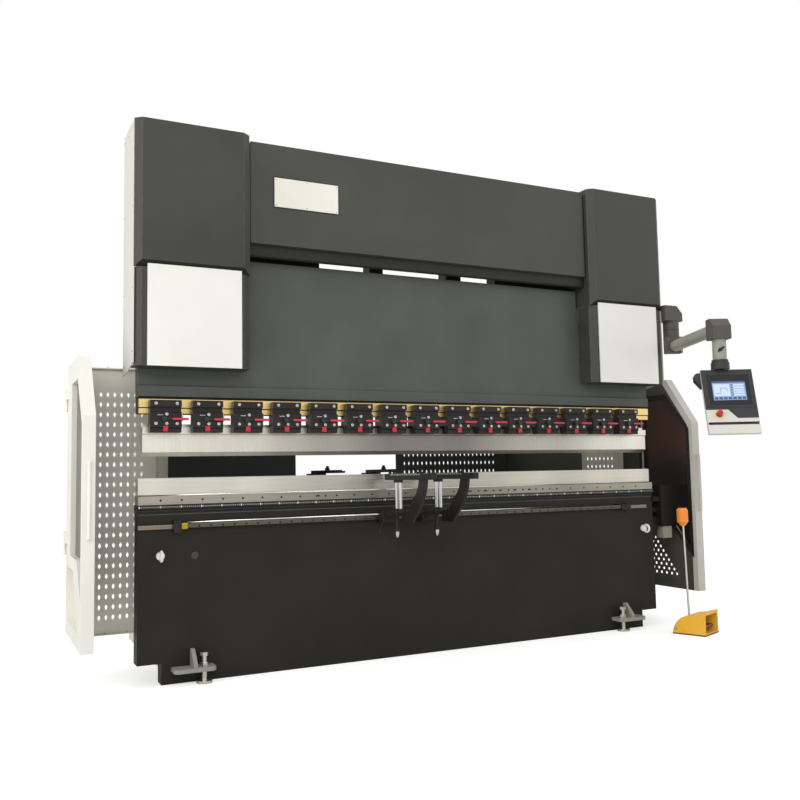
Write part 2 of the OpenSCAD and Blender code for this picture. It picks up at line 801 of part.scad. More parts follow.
module ram() color("#5c605c") in_place() {
    along_y(ram_y, ram_y1)
        polygon([[-bed_x, ram_z], [bed_x, ram_z], [bed_x, shoulder_z], [shoulder_x, shoulder_z],
                 [shoulder_x, ram_top_z], [-shoulder_x, ram_top_z], [-shoulder_x, shoulder_z],
                 [-bed_x, shoulder_z]]);
    along_x(-bed_x, bed_x)
        polygon([[ram_y, ram_z], [ram_y, ram_z + ledge_h], [ram_y - ledge_y + chip, ram_z + ledge_h],
                 [ram_y - ledge_y, ram_z + ledge_h - chip], [ram_y - ledge_y, ram_z]]);
}

module rods() color("#cfd0d0") in_place() both_sides() rod_z(cyl_x, cyl_y, shoulder_z, rod_top_z, rod_r);

// long beam under the ram with one narrower adapter behind each clamp
module tool_beam() color("#2a2a28") in_place() {
    block([-bed_x + 2, brass_y, brass_z], [bed_x - 2, ram_y1, ram_z]);
    difference() {
        for (i = [0:clamp_n - 1]) translate([clamp_x0 + i * clamp_step, 0, 0])
            block([adapter_in, 0, adapter_z], [clamp_w - adapter_in, ram_y1, adapter_z + adapter_h]);
        block([-bed_x, tip_y - tang_w / 2, adapter_z - 1], [bed_x, tip_y + tang_w / 2, adapter_z + tang_h + 2]);
    }
}

module brass_strips() color("#d9bf78") in_place() {
    block([-bed_x + 2, 0, brass_z + 30], [bed_x - 2, brass_y, clamp_top_z + 8]);
    block([-bed_x + 2, chip, brass_z], [bed_x - 2, brass_y, brass_z + 25]);
}

// section of a clamp: upper pad, recess, lower pad and set-back band
module clamp_section() polygon([
    [0, clamp_z], [clamp_y + 8, clamp_z], [clamp_y + 8, clamp_z + band_h - 2],
    [clamp_y, clamp_z + band_h + chip], [clamp_y, clamp_top_z - pad_h - recess_h - chip],
    [clamp_y + chip, clamp_top_z - pad_h - recess_h], [clamp_back_y, clamp_top_z - pad_h - recess_h],
    [clamp_back_y, clamp_top_z - pad_h], [clamp_y, clamp_top_z - pad_h],
    [clamp_y, clamp_top_z - chip], [clamp_y + chip, clamp_top_z], [0, clamp_top_z]]);

module clamp() difference() {
    along_x(0, clamp_w) clamp_section();
    rod_y(lever_x, clamp_y - 1, clamp_back_y, lever_z, stem_r + run);
}

module clamps() color("#201f1d") in_place()
    for (i = [0:clamp_n - 1]) translate([clamp_x0 + i * clamp_step, 0, 0]) clamp();

module punch() color("#c4bdb0") in_place()
    along_x(-bed_x + 21, bed_x - 21)
        polygon([[lip_over, adapter_z - 34], [lip_over, adapter_z], [tip_y - tang_w / 2 + 1, adapter_z],
                 [tip_y - tang_w / 2 + 1, adapter_z + tang_h], [tip_y + tang_w / 2 - 1, adapter_z + tang_h],
                 [tip_y + tang_w / 2 - 1, adapter_z], [die_y1 + lip_over, adapter_z],
                 [die_y1 + lip_over, adapter_z - 34], [die_y1, adapter_z - 48], [die_y1, adapter_z - 84],
                 [tip_y + tip_w / 2, punch_tip_z], [tip_y - tip_w / 2, punch_tip_z],
                 [die_y0, punch_tip_z + neck_h - 9], [die_y0, adapter_z - 38]]);

// lever of one clamp: hub and stem, thin arm and round grip
module lever(i) color("#c83040") in_place() translate([clamp_x0 + i * clamp_step + lever_x, 0, lever_z]) {
    rod_y(0, lever_y, clamp_y - run, 0, hub_r);
    rod_y(0, clamp_y - run, clamp_back_y - 2, 0, stem_r);
    block([0, lever_y + 1, -3], [grip_x0, lever_y + 7, 3]);
    rod_x(grip_x0, grip_x1, lever_y + 5, 0, grip_r);
    translate([grip_x1, lever_y + 5, 0]) sphere(r = grip_r, $fn = 24);
}

// Support arms

// gusseted arm under the support bar, from its nose back to the shelf
module support_web() polygon([
    [-417, support_z - bar_h], [-404, support_z - 73], [-381, support_z - 103], [-335, support_z - 135],
    [-299, carriage_z1 + 12], [shelf_y, carriage_z1], [shelf_y, carriage_z1 - 56], [-330, carriage_z1 - 56],
    [-440, support_z - 154], [-470, support_z - 104], [-484, support_z - 73], [-492, support_z - bar_h]]);

module support_post(y) {
    rod_z(0, y, carriage_z1, support_z - bar_h, post_r);
    rod_z(0, y, carriage_z1, carriage_z1 + collar_h, collar_r);
    rod_z(0, y, support_z - bar_h - collar_h, support_z - bar_h, collar_r);
}

module support(x) translate([x, 0, 0]) {
    // carriage on the rail
    difference() {
        along_x(-carriage_w / 2, carriage_w / 2)
            polygon([[-6, carriage_z0], [-6, carriage_z1], [carriage_y + 12, carriage_z1],
                     [carriage_y, carriage_z1 - 12], [carriage_y, carriage_z0 + 12],
                     [carriage_y + 12, carriage_z0]]);
        block([-carriage_w, rail_y - run, rail_z0 - run], [carriage_w, 0, rail_z1 + run]);
    }
    block([-shelf_w / 2, shelf_y, carriage_z1 - shelf_t], [shelf_w / 2, carriage_y, carriage_z1]);
    block([-shelf_w / 2, carriage_y - 1, carriage_z1 - shelf_t], [shelf_w / 2, carriage_y + 13, carriage_z1]);
    support_post(post_y1);
    support_post(post_y2);
    rod_z(0, post_y1, carriage_z1 - shelf_t - 64, carriage_z1 - shelf_t, post_r);
    rod_z(0, post_y1, carriage_z1 - shelf_t - 84, carriage_z1 - shelf_t - 64, collar_r);
    block([-bar_w / 2, -support_l, support_z - bar_h], [bar_w / 2, -bar_gap, support_z]);
    along_x(-web_t / 2, web_t / 2) support_web();
}

module support_left() color("#1f1e1c") in_place() support(support_x1);
module support_right() color("#1f1e1c") in_place() support(support_x2);

// Pendant

// cast elbow on the side of the cover with the upper half of the joint
module pendant_bracket() color("#565250") in_place() {
    along_y(pivot_y - elbow_w / 2, pivot_y + elbow_w / 2)
        polygon([[cover_edge_x, joint_z + 55], [pivot_x + 55, joint_z + 55], [pivot_x + 55, joint_z + 105],
                 [pivot_x + 10, bracket_top_z], [cover_edge_x, bracket_top_z]]);
    rod_z(pivot_x, pivot_y, joint_z, joint_z + 55, elbow_r);
    rod_z(pivot_x, pivot_y, joint_z - 35, joint_z, pin_r);
}

module at_arm() translate([pivot_x, pivot_y, 0]) rotate([0, 0, -arm_turn]) children();
module at_drop() at_arm() translate([0, -arm_l, 0]) rotate([0, 0, arm_turn - head_turn]) children();
module at_face() at_drop() translate([head_off, -head_out, head_z]) rotate([-head_tilt, 0, 0]) children();

// knee under the joint, round at the back and below
module arm_knee() intersection() {
    along_z(knee_low_z, knee_z) union() {
        circle(r = elbow_r, $fn = round_n);
        translate([-elbow_w / 2, -60]) square([elbow_w, 60]);
    }
    along_x(-elbow_w / 2, elbow_w / 2)
        polygon([[-60, knee_low_z], [-60, knee_z], [elbow_r, knee_z], [elbow_r, knee_low_z + 46],
                 [elbow_r - 14, knee_low_z + 16], [elbow_r - 44, knee_low_z]]);
}

// cast elbow over the drop tube with its outer corner cut off
module arm_elbow() along_x(-elbow_w / 2 - 2, elbow_w / 2 + 2)
    polygon([[-arm_l + elbow_r, drop_z], [-arm_l + elbow_r, end_z], [-arm_l - 8, end_z],
             [-arm_l - elbow_r, end_z - 44], [-arm_l - elbow_r, drop_z]]);

module pendant_arm() color("#565250") in_place() at_arm() {
    difference() {
        union() {
            rod_z(0, 0, knee_z - 1, joint_z - run, elbow_r);
            arm_knee();
        }
        rod_z(0, 0, knee_z + 4, joint_z + 5, pin_r + run);
    }
    difference() {
        arm_elbow();
        rod_z(0, -arm_l, drop_z - 10, tube_z, pin_r + run);
    }
}

module arm_tube() color("#d6d6c6") in_place() at_arm() rod_y(0, -arm_l + elbow_r, -60, tube_z, tube_r);

module pendant_drop() color("#c9c7bb") in_place() at_drop() {
    rod_z(0, 0, socket_z, drop_z - run, drop_r);
    rod_z(0, 0, drop_z - run, tube_z - 10, pin_r);
}

// tray with a raised bezel round the screen and a hand slot below
module head_tray() difference() {
    union() {
        block([-head_w / 2, 0, -head_h], [head_w / 2, tray_t, 0]);
        block([-122, -bezel_t, -227], [126, 0, -20]);
    }
    block([-112, -bezel_t - 1, -215], [115, 1, -34]);
    block([-head_w / 2 + 5, -1, -328], [head_w / 2 + 1, 9, -313]);
    rod_y(stop_u, -5, tray_t + 5, -stop_v, stem_r + run);
}

// housing behind the tray, with sloped ends
module head_back() along_x(-head_w / 2 + 27, head_w / 2 - 27)
    polygon([[tray_t, -8], [tray_t + 34, -26], [tray_t + 44, -56], [tray_t + 44, -230],
             [tray_t + 34, -262], [tray_t, -290]]);

// grip on the left side of the panel
module head_grip() along_y(tray_t - 6, tray_t + 34)
    polygon([[-head_w / 2 + 28, -8], [-head_w / 2 - 20, -12], [-head_w / 2 - 32, -22],
             [-head_w / 2 - 32, -50], [-head_w / 2, -95], [-head_w / 2 + 28, -95]]);

module pendant_box() color("#3a393a") in_place() {
    at_face() {
        difference() {
            union() {
                head_tray();
                head_back();
            }
            rod_y(stop_u, 3, tray_t + 12, -stop_v, stem_r + run);
        }
        head_grip();
    }
    at_drop() difference() {
        union() {
            rod_z(0, neck_y, head_z - 60, ring_z, neck_r);
            rod_z(0, 0, ring_z, socket_z - 6, ring_r);
            rod_z(0, 0, socket_z - 6, socket_z + 10, ring_r - 5);
        }
        rod_z(0, 0, socket_z, socket_z + 11, drop_r + run);
    }
}

module stop_button() color("#c62a2a") in_place() at_face() translate([stop_u, 0, -stop_v]) {
    rod_y(0, -26, -12, 0, 15);
    rod_y(0, -30, -26, 0, 12);
    rod_y(0, -12, 14, 0, stem_r);
}

// Foot switch

module at_switch() translate([switch_x, switch_y, 0]) rotate([0, 0, switch_turn]) children();

// side view of the hood drawn in by the wall d, rounded at the back
module hood_outline(d) polygon(concat(
    [[-d, d], [-d, hood_h - 1.4 * d]],
    [for (a = [90:-10:0]) [hood_back + (hood_rx - d) * cos(a), max(d, (hood_rz - 1.2 * d) * sin(a))]]));

module foot_hood() color("#f0a63c") in_place() at_switch() difference() {
    along_x(0, hood_w) hood_outline(0);
    along_x(2 * hood_wall, hood_w - 2 * hood_wall) hood_outline(2 * hood_wall);
    rod_x(hood_wall, hood_w - hood_wall, pedal_y, pedal_z, stem_r + run);
}

module foot_pedal() color("#2a2a2a") in_place() at_switch() {
    along_x(26, hood_w - 26)
        polygon([[24, 40], [20, 46], [26, 54], [60, 50], [pedal_y, 37], [pedal_y, 29], [60, 38]]);
    rod_x(hood_wall + 1, hood_w - hood_wall - 1, pedal_y, pedal_z, stem_r);
}

// stick with a knob, for moving the switch without stooping
module foot_rod() color("#cfcfcf") in_place() at_switch() translate([stick_x, stick_y, hood_h - 34])
    difference() {
        rotate([0, 0, -switch_turn]) rotate([0, stick_lean, 0]) {
            rod_z(0, 0, -10, knob_z - hood_h + 34, stick_r);
            translate([0, 0, knob_z - hood_h + 34]) rotate_extrude($fn = round_n)
                polygon([[0, 0], [stick_r + 8, 0], [knob_r, 24], [knob_r, knob_h - 12],
                         [knob_r - 10, knob_h], [0, knob_h]]);
        }
        along_x(-40, 40) translate([-stick_y, 34 - hood_h]) hood_outline(0);
    }

bed_plate();
crowning_channel();
die_holder();
die();
front_rail();
rail_ends();
lifting_eyes();
floor_feet();
foot_screws();
machine_frame();
crossbeam();
cylinders();
upper_covers();
lower_covers();
white_panels();
cover_sides();
perforated_panels();
crowning_drive();
rear_guard();
gauge_rails();
gauge_beam();
finger_left();
finger_right();
ram();
rods();
tool_beam();
brass_strips();
clamps();
punch();
guard_left();
window_left();
guard_right();
window_right();
support_left();
support_right();
pendant_bracket();
pendant_arm();
arm_tube();
pendant_drop();
pendant_box();
stop_button();
foot_hood();
foot_pedal();
foot_rod();
lever(0);  // lever_01
lever(1);  // lever_02
lever(2);  // lever_03
lever(3);  // lever_04
lever(4);  // lever_05
lever(5);  // lever_06
lever(6);  // lever_07
lever(7);  // lever_08
lever(8);  // lever_09
lever(9);  // lever_10
lever(10);  // lever_11
lever(11);  // lever_12
lever(12);  // lever_13
lever(13);  // lever_14
lever(14);  // lever_15
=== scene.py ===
import json
import math
import bpy
import bmesh
from mathutils import Matrix, Vector


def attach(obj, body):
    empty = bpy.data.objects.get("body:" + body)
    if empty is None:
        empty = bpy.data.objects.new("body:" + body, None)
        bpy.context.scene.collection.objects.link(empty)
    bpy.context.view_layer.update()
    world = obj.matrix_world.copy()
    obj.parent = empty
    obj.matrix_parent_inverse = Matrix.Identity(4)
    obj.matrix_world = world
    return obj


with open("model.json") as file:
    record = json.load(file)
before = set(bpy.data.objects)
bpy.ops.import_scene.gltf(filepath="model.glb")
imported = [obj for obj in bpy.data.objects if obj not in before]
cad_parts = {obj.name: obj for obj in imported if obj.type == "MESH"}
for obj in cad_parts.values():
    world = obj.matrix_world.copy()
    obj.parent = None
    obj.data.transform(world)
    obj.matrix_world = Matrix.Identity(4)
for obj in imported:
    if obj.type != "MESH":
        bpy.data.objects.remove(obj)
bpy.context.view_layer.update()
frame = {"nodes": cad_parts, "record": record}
nodes = frame["nodes"]
scene = bpy.context.scene

bedFaceY = 45  # mm from the origin forward to the front face of the bed


def at(x, y, z):
    # mm, with y counted from the front face of the bed
    return Vector((x / 1000, (y - bedFaceY) / 1000, z / 1000))


# camera, at the photograph's viewing angle
cameraView = {
    "place": (-2330.4, -4324.6, 989.4),
    "turn": 26.36,
    "rise": 4.773,
    "roll": -1.073,
    "lens": 39.205,
}


def placeCamera(view):
    turn, rise, roll = (math.radians(view[k]) for k in ("turn", "rise", "roll"))
    ahead = Vector((math.sin(turn) * math.cos(rise), math.cos(turn) * math.cos(rise), math.sin(rise)))
    side = Vector((math.cos(turn), -math.sin(turn), 0))
    above = side.cross(ahead)
    sideTurned = side * math.cos(roll) + above * math.sin(roll)
    aboveTurned = above * math.cos(roll) - side * math.sin(roll)
    data = bpy.data.cameras.new("photoCamera")
    data.lens = view["lens"]
    data.sensor_width = 36
    data.clip_end = 100
    camera = bpy.data.objects.new("photoCamera", data)
    camera.matrix_world = Matrix.Translation(at(*view["place"])) @ Matrix(
        (sideTurned, aboveTurned, -ahead)
    ).transposed().to_4x4()
    scene.collection.objects.link(camera)
    scene.camera = camera


placeCamera(cameraView)
print("camera placed")


# node groups that several finishes share
def startGroup(name, inputs, outputs):
    tree = bpy.data.node_groups.new(name, "ShaderNodeTree")
    for label, kind, value in inputs:
        socket = tree.interface.new_socket(name=label, in_out="INPUT", socket_type="NodeSocket" + kind)
        socket.default_value = value
    for label, kind in outputs:
        tree.interface.new_socket(name=label, in_out="OUTPUT", socket_type="NodeSocket" + kind)
    return tree, tree.nodes.new("NodeGroupInput"), tree.nodes.new("NodeGroupOutput")


def addNode(tree, kind, **settings):
    node = tree.nodes.new("ShaderNode" + kind)
    for key, value in settings.items():
        setattr(node, key, value)
    return node


def buildMottleGroup():
    # soft patches and a finer grain, about 0 to 1
    tree, given, result = startGroup(
        "mottle",
        [("Patch Scale", "Float", 3.0), ("Grain Scale", "Float", 300.0), ("Grain Share", "Float", 0.4)],
        [("Mask", "Float"), ("Grain", "Float")],
    )
    coords = addNode(tree, "TexCoord")
    patches = addNode(tree, "TexNoise")
    patches.inputs["Detail"].default_value = 3
    grain = addNode(tree, "TexNoise")
    grain.inputs["Detail"].default_value = 2
    mix = addNode(tree, "Mix", data_type="FLOAT")
    for noise, scale in ((patches, "Patch Scale"), (grain, "Grain Scale")):
        tree.links.new(coords.outputs["Object"], noise.inputs["Vector"])
        tree.links.new(given.outputs[scale], noise.inputs["Scale"])
    tree.links.new(given.outputs["Grain Share"], mix.inputs["Factor"])
    tree.links.new(patches.outputs["Fac"], mix.inputs["A"])
    tree.links.new(grain.outputs["Fac"], mix.inputs["B"])
    tree.links.new(mix.outputs["Result"], result.inputs["Mask"])
    tree.links.new(grain.outputs["Fac"], result.inputs["Grain"])
    return tree


def buildEdgeGroup():
    # 1 on the edges, broken up by a noise: rubbed edges, which on the dark covers also carry a painted highlight
    tree, given, result = startGroup(
        "edgeWearAndHighlight",
        [("Radius", "Float", 0.004), ("Amount", "Float", 0.5), ("Break Up", "Float", 60.0)],
        [("Edge", "Float"), ("Normal", "Vector")],
    )
    rounded = addNode(tree, "Bevel", samples=4)
    flat = addNode(tree, "NewGeometry")
    dot = addNode(tree, "VectorMath", operation="DOT_PRODUCT")
    spread = addNode(tree, "MapRange")
    spread.inputs["From Min"].default_value = 0.995
    spread.inputs["From Max"].default_value = 0.85
    coords = addNode(tree, "TexCoord")
    noise = addNode(tree, "TexNoise")
    noise.inputs["Detail"].default_value = 4
    chip = addNode(tree, "MapRange")
    chip.inputs["From Min"].default_value = 0.35
    chip.inputs["From Max"].default_value = 0.65
    times = addNode(tree, "Math", operation="MULTIPLY")
    amount = addNode(tree, "Math", operation="MULTIPLY")
    tree.links.new(given.outputs["Radius"], rounded.inputs["Radius"])
    tree.links.new(rounded.outputs["Normal"], dot.inputs[0])
    tree.links.new(flat.outputs["True Normal"], dot.inputs[1])
    tree.links.new(dot.outputs["Value"], spread.inputs["Value"])
    tree.links.new(coords.outputs["Object"], noise.inputs["Vector"])
    tree.links.new(given.outputs["Break Up"], noise.inputs["Scale"])
    tree.links.new(noise.outputs["Fac"], chip.inputs["Value"])
    tree.links.new(spread.outputs["Result"], times.inputs[0])
    tree.links.new(chip.outputs["Result"], times.inputs[1])
    tree.links.new(times.outputs["Value"], amount.inputs[0])
    tree.links.new(given.outputs["Amount"], amount.inputs[1])
    tree.links.new(amount.outputs["Value"], result.inputs["Edge"])
    tree.links.new(rounded.outputs["Normal"], result.inputs["Normal"])
    return tree


def buildGrindGroup():
    # ground steel: fine lines drawn out along one direction, and slow bands across it that are painted highlight
    # streaks
    tree, given, result = startGroup(
        "grind",
        [("Stretch", "Vector", (2.0, 400.0, 400.0)), ("Band Stretch", "Vector", (3.0, 0.2, 0.2))],
        [("Lines", "Float"), ("Bands", "Float")],
    )
    coords = addNode(tree, "TexCoord")
    for stretch, output, detail in (("Stretch", "Lines", 3), ("Band Stretch", "Bands", 1)):
        scaled = addNode(tree, "VectorMath", operation="MULTIPLY")
        noise = addNode(tree, "TexNoise")
        noise.inputs["Scale"].default_value = 1
        noise.inputs["Detail"].default_value = detail
        tree.links.new(coords.outputs["Object"], scaled.inputs[0])
        tree.links.new(given.outputs[stretch], scaled.inputs[1])
        tree.links.new(scaled.outputs["Vector"], noise.inputs["Vector"])
        tree.links.new(noise.outputs["Fac"], result.inputs[output])
    return tree


mottleGroup = buildMottleGroup()
edgeGroup = buildEdgeGroup()
grindGroup = buildGrindGroup()


def placeGroup(tree, group, **values):
    node = tree.nodes.new("ShaderNodeGroup")
    node.node_tree = group
    for key, value in values.items():
        node.inputs[key].default_value = value
    return node


def shade(rgb):
    # 0-255 screen colour to linear
    return tuple((c / 255 / 12.92) if c <= 10.3 else ((c / 255 + 0.055) / 1.055) ** 2.4 for c in rgb) + (1.0,)


def mixTones(tree, factor, first, second):
    mix = addNode(tree, "Mix", data_type="RGBA")
    tree.links.new(factor, mix.inputs["Factor"])
    for socket, value in ((mix.inputs["A"], first), (mix.inputs["B"], second)):
        if isinstance(value, bpy.types.NodeSocket):
            tree.links.new(value, socket)
        else:
            socket.default_value = value
    return mix.outputs["Result"]


def stretchRange(tree, value, low, high, toLow, toHigh):
    node = addNode(tree, "MapRange")
    node.inputs["From Min"].default_value = low
    node.inputs["From Max"].default_value = high
    node.inputs["To Min"].default_value = toLow
    node.inputs["To Max"].default_value = toHigh
    tree.links.new(value, node.inputs["Value"])
    return node.outputs["Result"]


def objectAxis(tree, axis):
    coords = addNode(tree, "TexCoord")
    parts = addNode(tree, "SeparateXYZ")
    tree.links.new(coords.outputs["Object"], parts.inputs["Vector"])
    return parts.outputs[axis]


def useMath(tree, operation, first, second=None):
    node = addNode(tree, "Math", operation=operation)
    for socket, value in zip(node.inputs, (first, second)):
        if isinstance(value, bpy.types.NodeSocket):
            tree.links.new(value, socket)
        elif value is not None:
            socket.default_value = value
    return node.outputs["Value"]


def allOf(tree, *masks):
    result = masks[0]
    for mask in masks[1:]:
        result = useMath(tree, "MULTIPLY", result, mask)
    return result


def startFinish(name):
    finish = bpy.data.materials.new(name)
    finish.use_nodes = True
    tree = finish.node_tree
    return finish, tree, tree.nodes["Principled BSDF"]


def paintFinish(name, tone, deep, edge, gloss=(0.42, 0.58), patch=2.5, grain=420, bump=0.05,
                wearAndHighlight=0.35, radius=0.003, specular=0.3, metal=0.0, coat=0.0, zone=None, zoneTones=None):
    # sprayed and baked paint: slow patches, fine orange peel, light edges that are partly rubbed and partly a painted
    # highlight
    finish, tree, shader = startFinish(name)
    mottle = placeGroup(tree, mottleGroup, **{"Patch Scale": patch, "Grain Scale": grain, "Grain Share": 0.35})
    wornAndHighlit = placeGroup(tree, edgeGroup, **{"Radius": radius, "Amount": wearAndHighlight, "Break Up": 45})
    mask = stretchRange(tree, mottle.outputs["Mask"], 0.32, 0.68, 0, 1)
    base = mixTones(tree, mask, shade(deep), shade(tone))
    if zone:  # a second colour where the zone's mask is 1
        base = mixTones(tree, zone(tree), base, mixTones(tree, mask, shade(zoneTones[1]), shade(zoneTones[0])))
    tree.links.new(mixTones(tree, wornAndHighlit.outputs["Edge"], base, shade(edge)), shader.inputs["Base Color"])
    tree.links.new(stretchRange(tree, mottle.outputs["Mask"], 0.3, 0.7, *gloss), shader.inputs["Roughness"])
    peel = addNode(tree, "Bump")
    peel.inputs["Strength"].default_value = bump
    peel.inputs["Distance"].default_value = 0.002
    tree.links.new(mottle.outputs["Grain"], peel.inputs["Height"])
    tree.links.new(wornAndHighlit.outputs["Normal"], peel.inputs["Normal"])
    tree.links.new(peel.outputs["Normal"], shader.inputs["Normal"])
    shader.inputs["Specular IOR Level"].default_value = specular
    shader.inputs["Metallic"].default_value = metal
    shader.inputs["Coat Weight"].default_value = coat
    return finish


def metalFinish(name, tone, deep, edge, stretch, bands, gloss=(0.25, 0.42), bump=0.06, wearAndHighlight=0.5, radius=0.002,
                middle=None):
    # ground or drawn metal with a direction
    finish, tree, shader = startFinish(name)
    grind = placeGroup(tree, grindGroup, **{"Stretch": stretch, "Band Stretch": bands})
    wornAndHighlit = placeGroup(tree, edgeGroup, **{"Radius": radius, "Amount": wearAndHighlight, "Break Up": 30})
    lines = stretchRange(tree, grind.outputs["Lines"], 0.35, 0.65, 0, 1)
    slow = stretchRange(tree, grind.outputs["Bands"], 0.35, 0.65, 0, 1)
    lined = mixTones(tree, lines, shade(deep), shade(tone))
    # the slow bands lighten and darken the colour as painted highlight streaks
    banded = addNode(tree, "Mix", data_type="RGBA", blend_type="MULTIPLY")
    banded.inputs["Factor"].default_value = 0.5
    ramp = mixTones(tree, slow, (0.6, 0.6, 0.6, 1), (1, 1, 1, 1))
    if middle:  # darker towards the middle: a painted reflection on the punch, die and holder; on the rail only the ends keep the lined colour
        ends = stretchRange(tree, useMath(tree, "ABSOLUTE", objectAxis(tree, "X")), *middle, 1)
        lined = mixTones(tree, ends, shade((70, 68, 62)), lined)
    tree.links.new(lined, banded.inputs["A"])
    tree.links.new(ramp, banded.inputs["B"])
    tree.links.new(
        mixTones(tree, wornAndHighlit.outputs["Edge"], banded.outputs["Result"], shade(edge)), shader.inputs["Base Color"]
    )
    tree.links.new(stretchRange(tree, grind.outputs["Lines"], 0.3, 0.7, *gloss), shader.inputs["Roughness"])
    scratch = addNode(tree, "Bump")
    scratch.inputs["Strength"].default_value = bump
    scratch.inputs["Distance"].default_value = 0.001
    tree.links.new(grind.outputs["Lines"], scratch.inputs["Height"])
    tree.links.new(wornAndHighlit.outputs["Normal"], scratch.inputs["Normal"])
    tree.links.new(scratch.outputs["Normal"], shader.inputs["Normal"])
    shader.inputs["Metallic"].default_value = 1.0
    return finish


acrossGrain = (400.0, 400.0, 3.0)  # lines run up and down
alongGrain = (3.0, 400.0, 400.0)  # lines run along the machine
# broad bands of painted highlight streaks
wideGlintBands = (2.4, 0.1, 0.1)


def insideFrames(tree):
    # the faces that the side frames turn to each other, and the ties between them
    return useMath(tree, "LESS_THAN", useMath(tree, "ABSOLUTE", objectAxis(tree, "X")), 1.3754)


def insideGuards(tree):
    # the inner skin of a side guard, without the light band along its front and its slope
    inner = useMath(tree, "LESS_THAN", useMath(tree, "ABSOLUTE", objectAxis(tree, "X")), 1.8134)
    back = useMath(tree, "ADD", objectAxis(tree, "Y"), 0.202)
    slope = useMath(tree, "SUBTRACT", useMath(tree, "MULTIPLY", back, 0.8075),
                    useMath(tree, "MULTIPLY", useMath(tree, "SUBTRACT", objectAxis(tree, "Z"), 1.276), 0.59))
    return allOf(tree, inner, useMath(tree, "GREATER_THAN", back, 0.04), useMath(tree, "GREATER_THAN", slope, 0.04))


def recessShade(tree):
    # the set-back edge of the crossbeam under its front panel, painted darker as shade in the recess
    return useMath(tree, "LESS_THAN", objectAxis(tree, "Z"), 2.1745)


def topOfFeet(tree):
    return useMath(tree, "COMPARE", objectAxis(tree, "Z"), 0.08)


def drivePlug(tree):
    return allOf(tree, useMath(tree, "LESS_THAN", objectAxis(tree, "Z"), 0.6155),
                 useMath(tree, "GREATER_THAN", objectAxis(tree, "X"), 1.675))


# the operator panel's own frame: x across its face, y into it, z up it
panelPlace = {"pivot": (1735, -95), "arm": 748, "armTurn": 24, "turn": 30, "tilt": 18,
              "off": 26, "out": 10.5, "top": 1529}


def panelMatrix(p):
    swing = math.radians(p["armTurn"])
    drop = at(p["pivot"][0] - p["arm"] * math.sin(swing), p["pivot"][1] - p["arm"] * math.cos(swing), 0)
    turned = Matrix.Translation(drop) @ Matrix.Rotation(-math.radians(p["turn"]), 4, "Z")
    shifted = turned @ Matrix.Translation(Vector((p["off"], -p["out"], p["top"])) / 1000)
    return turned, shifted @ Matrix.Rotation(-math.radians(p["tilt"]), 4, "X")


dropFrame, panelFrame = panelMatrix(panelPlace)


def lightPanel(tree):
    # the tray's rim and the lower part of the face are light, the rest is dark
    look = {"step": (-0.020, 0.026), "stepDown": (0.240, 0.291), "tray": 0.0212, "slot": (0.3129, 0.3281), "wide": 0.1388}
    coords = addNode(tree, "TexCoord")
    turn = addNode(tree, "Mapping", vector_type="POINT")
    inverse = panelFrame.inverted()
    turn.inputs["Location"].default_value = inverse.to_translation()
    turn.inputs["Rotation"].default_value = inverse.to_euler("XYZ")
    tree.links.new(coords.outputs["Object"], turn.inputs["Vector"])
    parts = addNode(tree, "SeparateXYZ")
    tree.links.new(turn.outputs["Vector"], parts.inputs["Vector"])
    across, deep = parts.outputs["X"], parts.outputs["Y"]
    down = useMath(tree, "MULTIPLY", parts.outputs["Z"], -1.0)
    border = stretchRange(tree, across, *look["step"], *look["stepDown"])
    onFace = useMath(tree, "LESS_THAN", deep, 0.0012)
    darkFace = allOf(tree, onFace, useMath(tree, "LESS_THAN", down, border))
    slotDark = allOf(tree, useMath(tree, "GREATER_THAN", deep, 0.0004),
                     useMath(tree, "GREATER_THAN", down, look["slot"][0]),
                     useMath(tree, "LESS_THAN", down, look["slot"][1]),
                     useMath(tree, "LESS_THAN", useMath(tree, "ABSOLUTE", across), look["wide"]))
    grip = useMath(tree, "LESS_THAN", across, -0.1394)
    behind = useMath(tree, "MAXIMUM", grip, useMath(tree, "GREATER_THAN", deep, look["tray"]))
    top = useMath(tree, "LESS_THAN", down, 0.001)
    dark = useMath(tree, "MAXIMUM", useMath(tree, "MAXIMUM", darkFace, slotDark), useMath(tree, "MAXIMUM", behind, top))
    return useMath(tree, "SUBTRACT", 1.0, dark)

# dark cover paint: its light, strong and wide edge colour is a painted highlight along the cover edges
darkCoat = paintFinish("darkCoat", (70, 70, 64), (55, 55, 50), (146, 148, 141), wearAndHighlight=0.8, radius=0.006)
# crossbeam paint, with painted shade on the set-back edge under its front panel
crossCoat = paintFinish("crossCoat", (76, 77, 71), (62, 64, 60), (112, 112, 106), wearAndHighlight=0.35, zone=recessShade,
                        zoneTones=((38, 38, 33), (28, 28, 25)))
bedCoat = paintFinish("bedCoat", (42, 40, 34), (31, 29, 24), (72, 70, 63), wearAndHighlight=0.3, specular=0.2)
feetCoat = paintFinish("feetCoat", (58, 56, 51), (44, 42, 37), (110, 108, 102), wearAndHighlight=0.5, zone=topOfFeet,
                       zoneTones=((158, 155, 148), (136, 133, 126)))
ramCoat = paintFinish("ramCoat", (88, 91, 86), (72, 76, 72), (114, 117, 113), gloss=(0.38, 0.5), wearAndHighlight=0.25)
frameCoat = paintFinish("frameCoat", (226, 222, 210), (212, 208, 194), (240, 238, 230), wearAndHighlight=0.2,
                        zone=insideFrames, zoneTones=((64, 64, 58), (50, 50, 45)))
